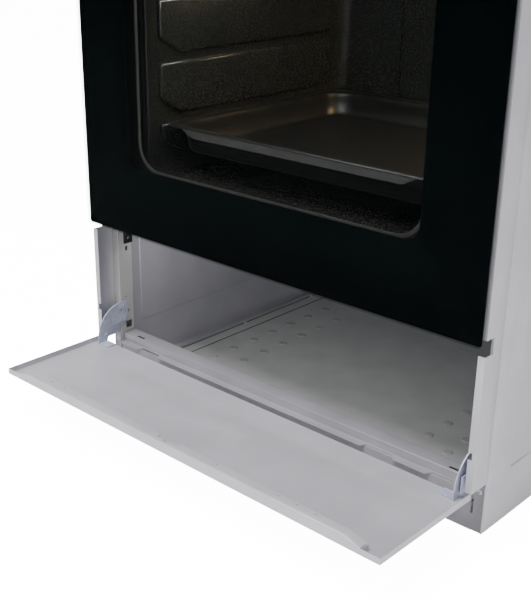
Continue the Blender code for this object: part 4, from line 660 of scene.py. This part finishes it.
def tray():
    """The deep tray: rounded well, soft rim and a turned-down front lip with cut-back ends."""
    low, high = TRAY_LOW, TRAY_HIGH
    middle = (low.y + high.y) / 2
    half_x, half_y = (high.x - low.x) / 2 - SHEET / 2, (high.y - low.y) / 2 - SHEET / 2
    first = (half_x - 0.026, half_y - 0.026, 0.030, Matrix.Translation((0, middle, low.z + SHEET / 2)))
    steps = [
        ((0, 0, 0.0012), 0.0040), ((0, 0, 0.0040), 0.0034), ((0, 0, 0.0200), 0.0030),
        ((0, 0, 0.0060), 0.0010), ((0, 0, 0.0024), 0.0014), ((0, 0, 0.0004), 0.0022), ((0, 0, 0), 0.0110),
    ]
    stepped("baking_tray_pan", first, steps, tray_enamel, "case", ("baking_tray",), smooth=50)
    bm = bmesh.new()
    top = low.z + 0.034 + SHEET / 2
    outline = [(-0.176, 0), (-0.157, -0.0098), (0.157, -0.0098), (0.176, 0)]
    face = bm.faces.new([bm.verts.new((x, low.y + 0.0006, top + z)) for x, z in outline])
    extruded(bm, face, (0, 0.0010, 0))
    piece("baking_tray_lip", bm, pale_enamel_and_highlight, "case", bevel=0.0003)


oven_liner()
mouth_edge()
shelf_pads()
back_pressing()
tray()
eased("oven_front_frame", ground_coat, 0.0003)
coat("oven_floor_plate", enamel)
coat("oven_burner", cast_aluminium)
coat("grill_burner", black_steel)
coat("oven_lamp", lamp_glass)
coat("wire_rack", chrome)


# Flap ------------------------------------------------------------------------------------------------

eased("flap_panel", powder_coat, EASE, fold=FLAP_FOLD, sheet=FLAP_SHEET)


def lip_ends():
    """Small tabs that close both ends of the flap's turned-back lip."""
    low, high = corners("flap_panel")
    across, inset, rise = 0.0120, 0.0232, 0.0076
    bm = bmesh.new()
    for side in (-1, 1):
        x = side * (high.x - inset)
        start = (x, low.y + FLAP_SHEET, low.z + FLAP_SHEET)
        slab(bm, start, (x + side * FLAP_SHEET, low.y + across, low.z + rise))
    piece("flap_lip_end_tabs", bm, powder_coat, "storage_flap")


lip_ends()


def arm_lugs():
    """Two lanced lugs near each flap arm's tip."""
    for side, word in SIDES:
        low, high = corners(f"flap_hinge_arm_{word}")
        inner = side * (max(abs(low.x), abs(high.x)) - ARM_SHEET)
        bm = bmesh.new()
        for y, z in ((0.0345, 0.1035), (0.0352, 0.0850)):
            turn = Matrix.Translation((inner - side * 0.0010, FACE + y, z)) @ Matrix.Rotation(-side * 0.6, 4, "Z")
            slab(bm, (-0.0006, -0.0022, -0.0026), (0.0006, 0.0022, 0.0026), turn)
        piece(f"flap_arm_lugs_{word}", bm, zinc_plate, "storage_flap", bevel=0.0004)


arm_lugs()


# Controls --------------------------------------------------------------------------------------------

eased("control_panel", powder_coat, 0.0003)
coat("gas_manifold", brass)
for i in range(1, 6):
    coat(f"tap_stem_{i}", brass)
    eased(f"knob_{i}", knob_plastic, 0.0005)
eased("lamp_button", knob_plastic, 0.0003)


def knob_marks():
    """A pointer line on each knob's grip, and printed ticks round it on the panel."""
    panel_low = corners("control_panel")[0]
    printed = bmesh.new()
    tick = 0.0255  # distance of the ticks from the knob's axis
    for i in range(1, 6):
        low, high = corners(f"knob_{i}")
        middle = (low + high) / 2
        bm = bmesh.new()
        start = (middle.x - 0.0007, low.y - 0.0002, middle.z + 0.002)
        slab(bm, start, (middle.x + 0.0007, low.y + 0.0004, middle.z + 0.0145))
        piece(f"knob_pointer_{i}", bm, white_ink, f"dial_{i}")
        centre = Matrix.Translation((middle.x, panel_low.y, middle.z))
        for step in range(8):
            turn = centre @ Matrix.Rotation(math.radians(30 * step), 4, "Y")
            length = 0.005 if step % 2 else 0.003
            slab(printed, (-0.0006, -0.0001, tick), (0.0006, 0.0001, tick + length), turn)
    piece("panel_print", printed, white_ink, "case")


knob_marks()


# Hob -------------------------------------------------------------------------------------------------

eased("hob_top", powder_coat, 0.0004)
for side, word in SIDES:
    eased(f"pan_grate_{word}", cast_enamel, 0.0012)


def burners():
    """Flame ports round each burner head, and a spark electrode beside it."""
    for i in range(1, 5):
        low, high = corners(f"burner_head_{i}")
        middle = (low + high) / 2
        coat(f"burner_head_{i}", cast_aluminium)
        coat(f"burner_cap_{i}", cast_enamel)
        radius = (high.x - low.x) / 2 - 0.004
        count = int(2 * math.pi * radius / 0.009)
        ports = bmesh.new()
        centre = Matrix.Translation((middle.x, middle.y, 0))
        port_low = (radius - 0.0012, -0.0011, high.z - 0.0065)
        port_high = (radius + 0.0002, 0.0011, high.z - 0.0015)
        for k in range(count):
            slab(ports, port_low, port_high, centre @ Matrix.Rotation(2 * math.pi * k / count, 4, "Z"))
        piece(f"burner_ports_{i}", ports, cast_enamel, "case")
        spark = bmesh.new()
        at = Matrix.Translation((middle.x, middle.y + radius + 0.0085, corners("hob_top")[1].z - 0.0105))
        lathe(spark, [(0, 0), (0.0026, 0), (0.0026, 0.010), (0.0018, 0.0125), (0, 0.0125)], at, 12)
        piece(f"spark_electrode_{i}", spark, ceramic, "case", smooth=50)


burners()


# Feet and fasteners ----------------------------------------------------------------------------------

for side, word in SIDES:
    for spot in ("front", "rear"):
        coat(f"foot_{spot}_{word}", rubber)

rear_y = corners("rear_panel")[1].y
plinth_low, plinth_high = corners("plinth_panel")
screw_x, screw_z = plinth_high.x - 0.005, plinth_high.z - 0.009
plinth_screws = [((s * screw_x, plinth_low.y, screw_z), (0, -1, 0)) for s in (-1, 1)]
rear_screws = [((s * 0.278, rear_y, z), (0, 1, 0)) for s in (-1, 1) for z in (0.06, 0.25, 0.45, 0.65)]
screws("plinth_screws", plinth_screws, zinc_plate, "case", 0.0026)
screws("rear_screws", rear_screws, zinc_plate, "case")


# Light and floor -------------------------------------------------------------------------------------


def soft_light(name, place, aim, size, power, colour=(1, 1, 1)):
    """A rectangular studio light of a size in metres and a power in watts, aimed at a point."""
    data = bpy.data.lights.new(name, "AREA")
    data.shape = "RECTANGLE"
    data.size, data.size_y = size
    data.energy = power
    data.color = colour
    light = bpy.data.objects.new(name, data)
    bpy.context.scene.collection.objects.link(light)
    light.location = place
    light.visible_camera = False
    light.rotation_euler = (Vector(aim) - Vector(place)).to_track_quat("-Z", "Y").to_euler()


world = bpy.data.worlds.new("studio")
world.use_nodes = True
sky = world.node_tree
seen = put(sky, "LightPath")
bright = put(sky, "Mix", {"Factor": seen.outputs["Is Camera Ray"], "A": 0.64, "B": BACKDROP})
sky.nodes["Background"].inputs["Color"].default_value = (1, 1, 1, 1)
sky.links.new(bright.outputs["Result"], sky.nodes["Background"].inputs["Strength"])
bpy.context.scene.world = world

soft_light("key", (-0.1, -1.5, 3.0), (0, FACE - 0.05, 0.1), (1.5, 1.5), 190)
soft_light("side", (2.6, 0.1, 1.2), (0, 0, 0.4), (1.6, 1.6), 10)
soft_light(
    "storage_fill", (0, FACE + 0.03, FLAP_LOW.z + 0.140), (0, FACE + 0.34, FLAP_LOW.z), (0.50, 0.03), 0.39
)
lamp_low = corners("oven_lamp")[0]
soft_light(
    "oven_glow", (lamp_low.x - 0.02, lamp_low.y - 0.012, lamp_low.z), (0.10, lamp_low.y - 0.02, 0.35),
    (0.03, 0.03), 1.3, (1.0, 0.68, 0.36),
)
soft_light(
    "oven_fill", (0, MOUTH + 0.03, CAVITY_ROOF - 0.02), (0, MOUTH + 0.20, CAVITY_FLOOR), (0.30, 0.03), 1.6,
    (0.92, 1.0, 0.97),
)

floor_mesh = bmesh.new()
bmesh.ops.create_grid(floor_mesh, x_segments=1, y_segments=1, size=6)
floor_data = bpy.data.meshes.new("floor")
floor_mesh.to_mesh(floor_data)
floor_mesh.free()
floor_data.materials.append(floor_paint)
floor = bpy.data.objects.new("floor", floor_data)
bpy.context.scene.collection.objects.link(floor)
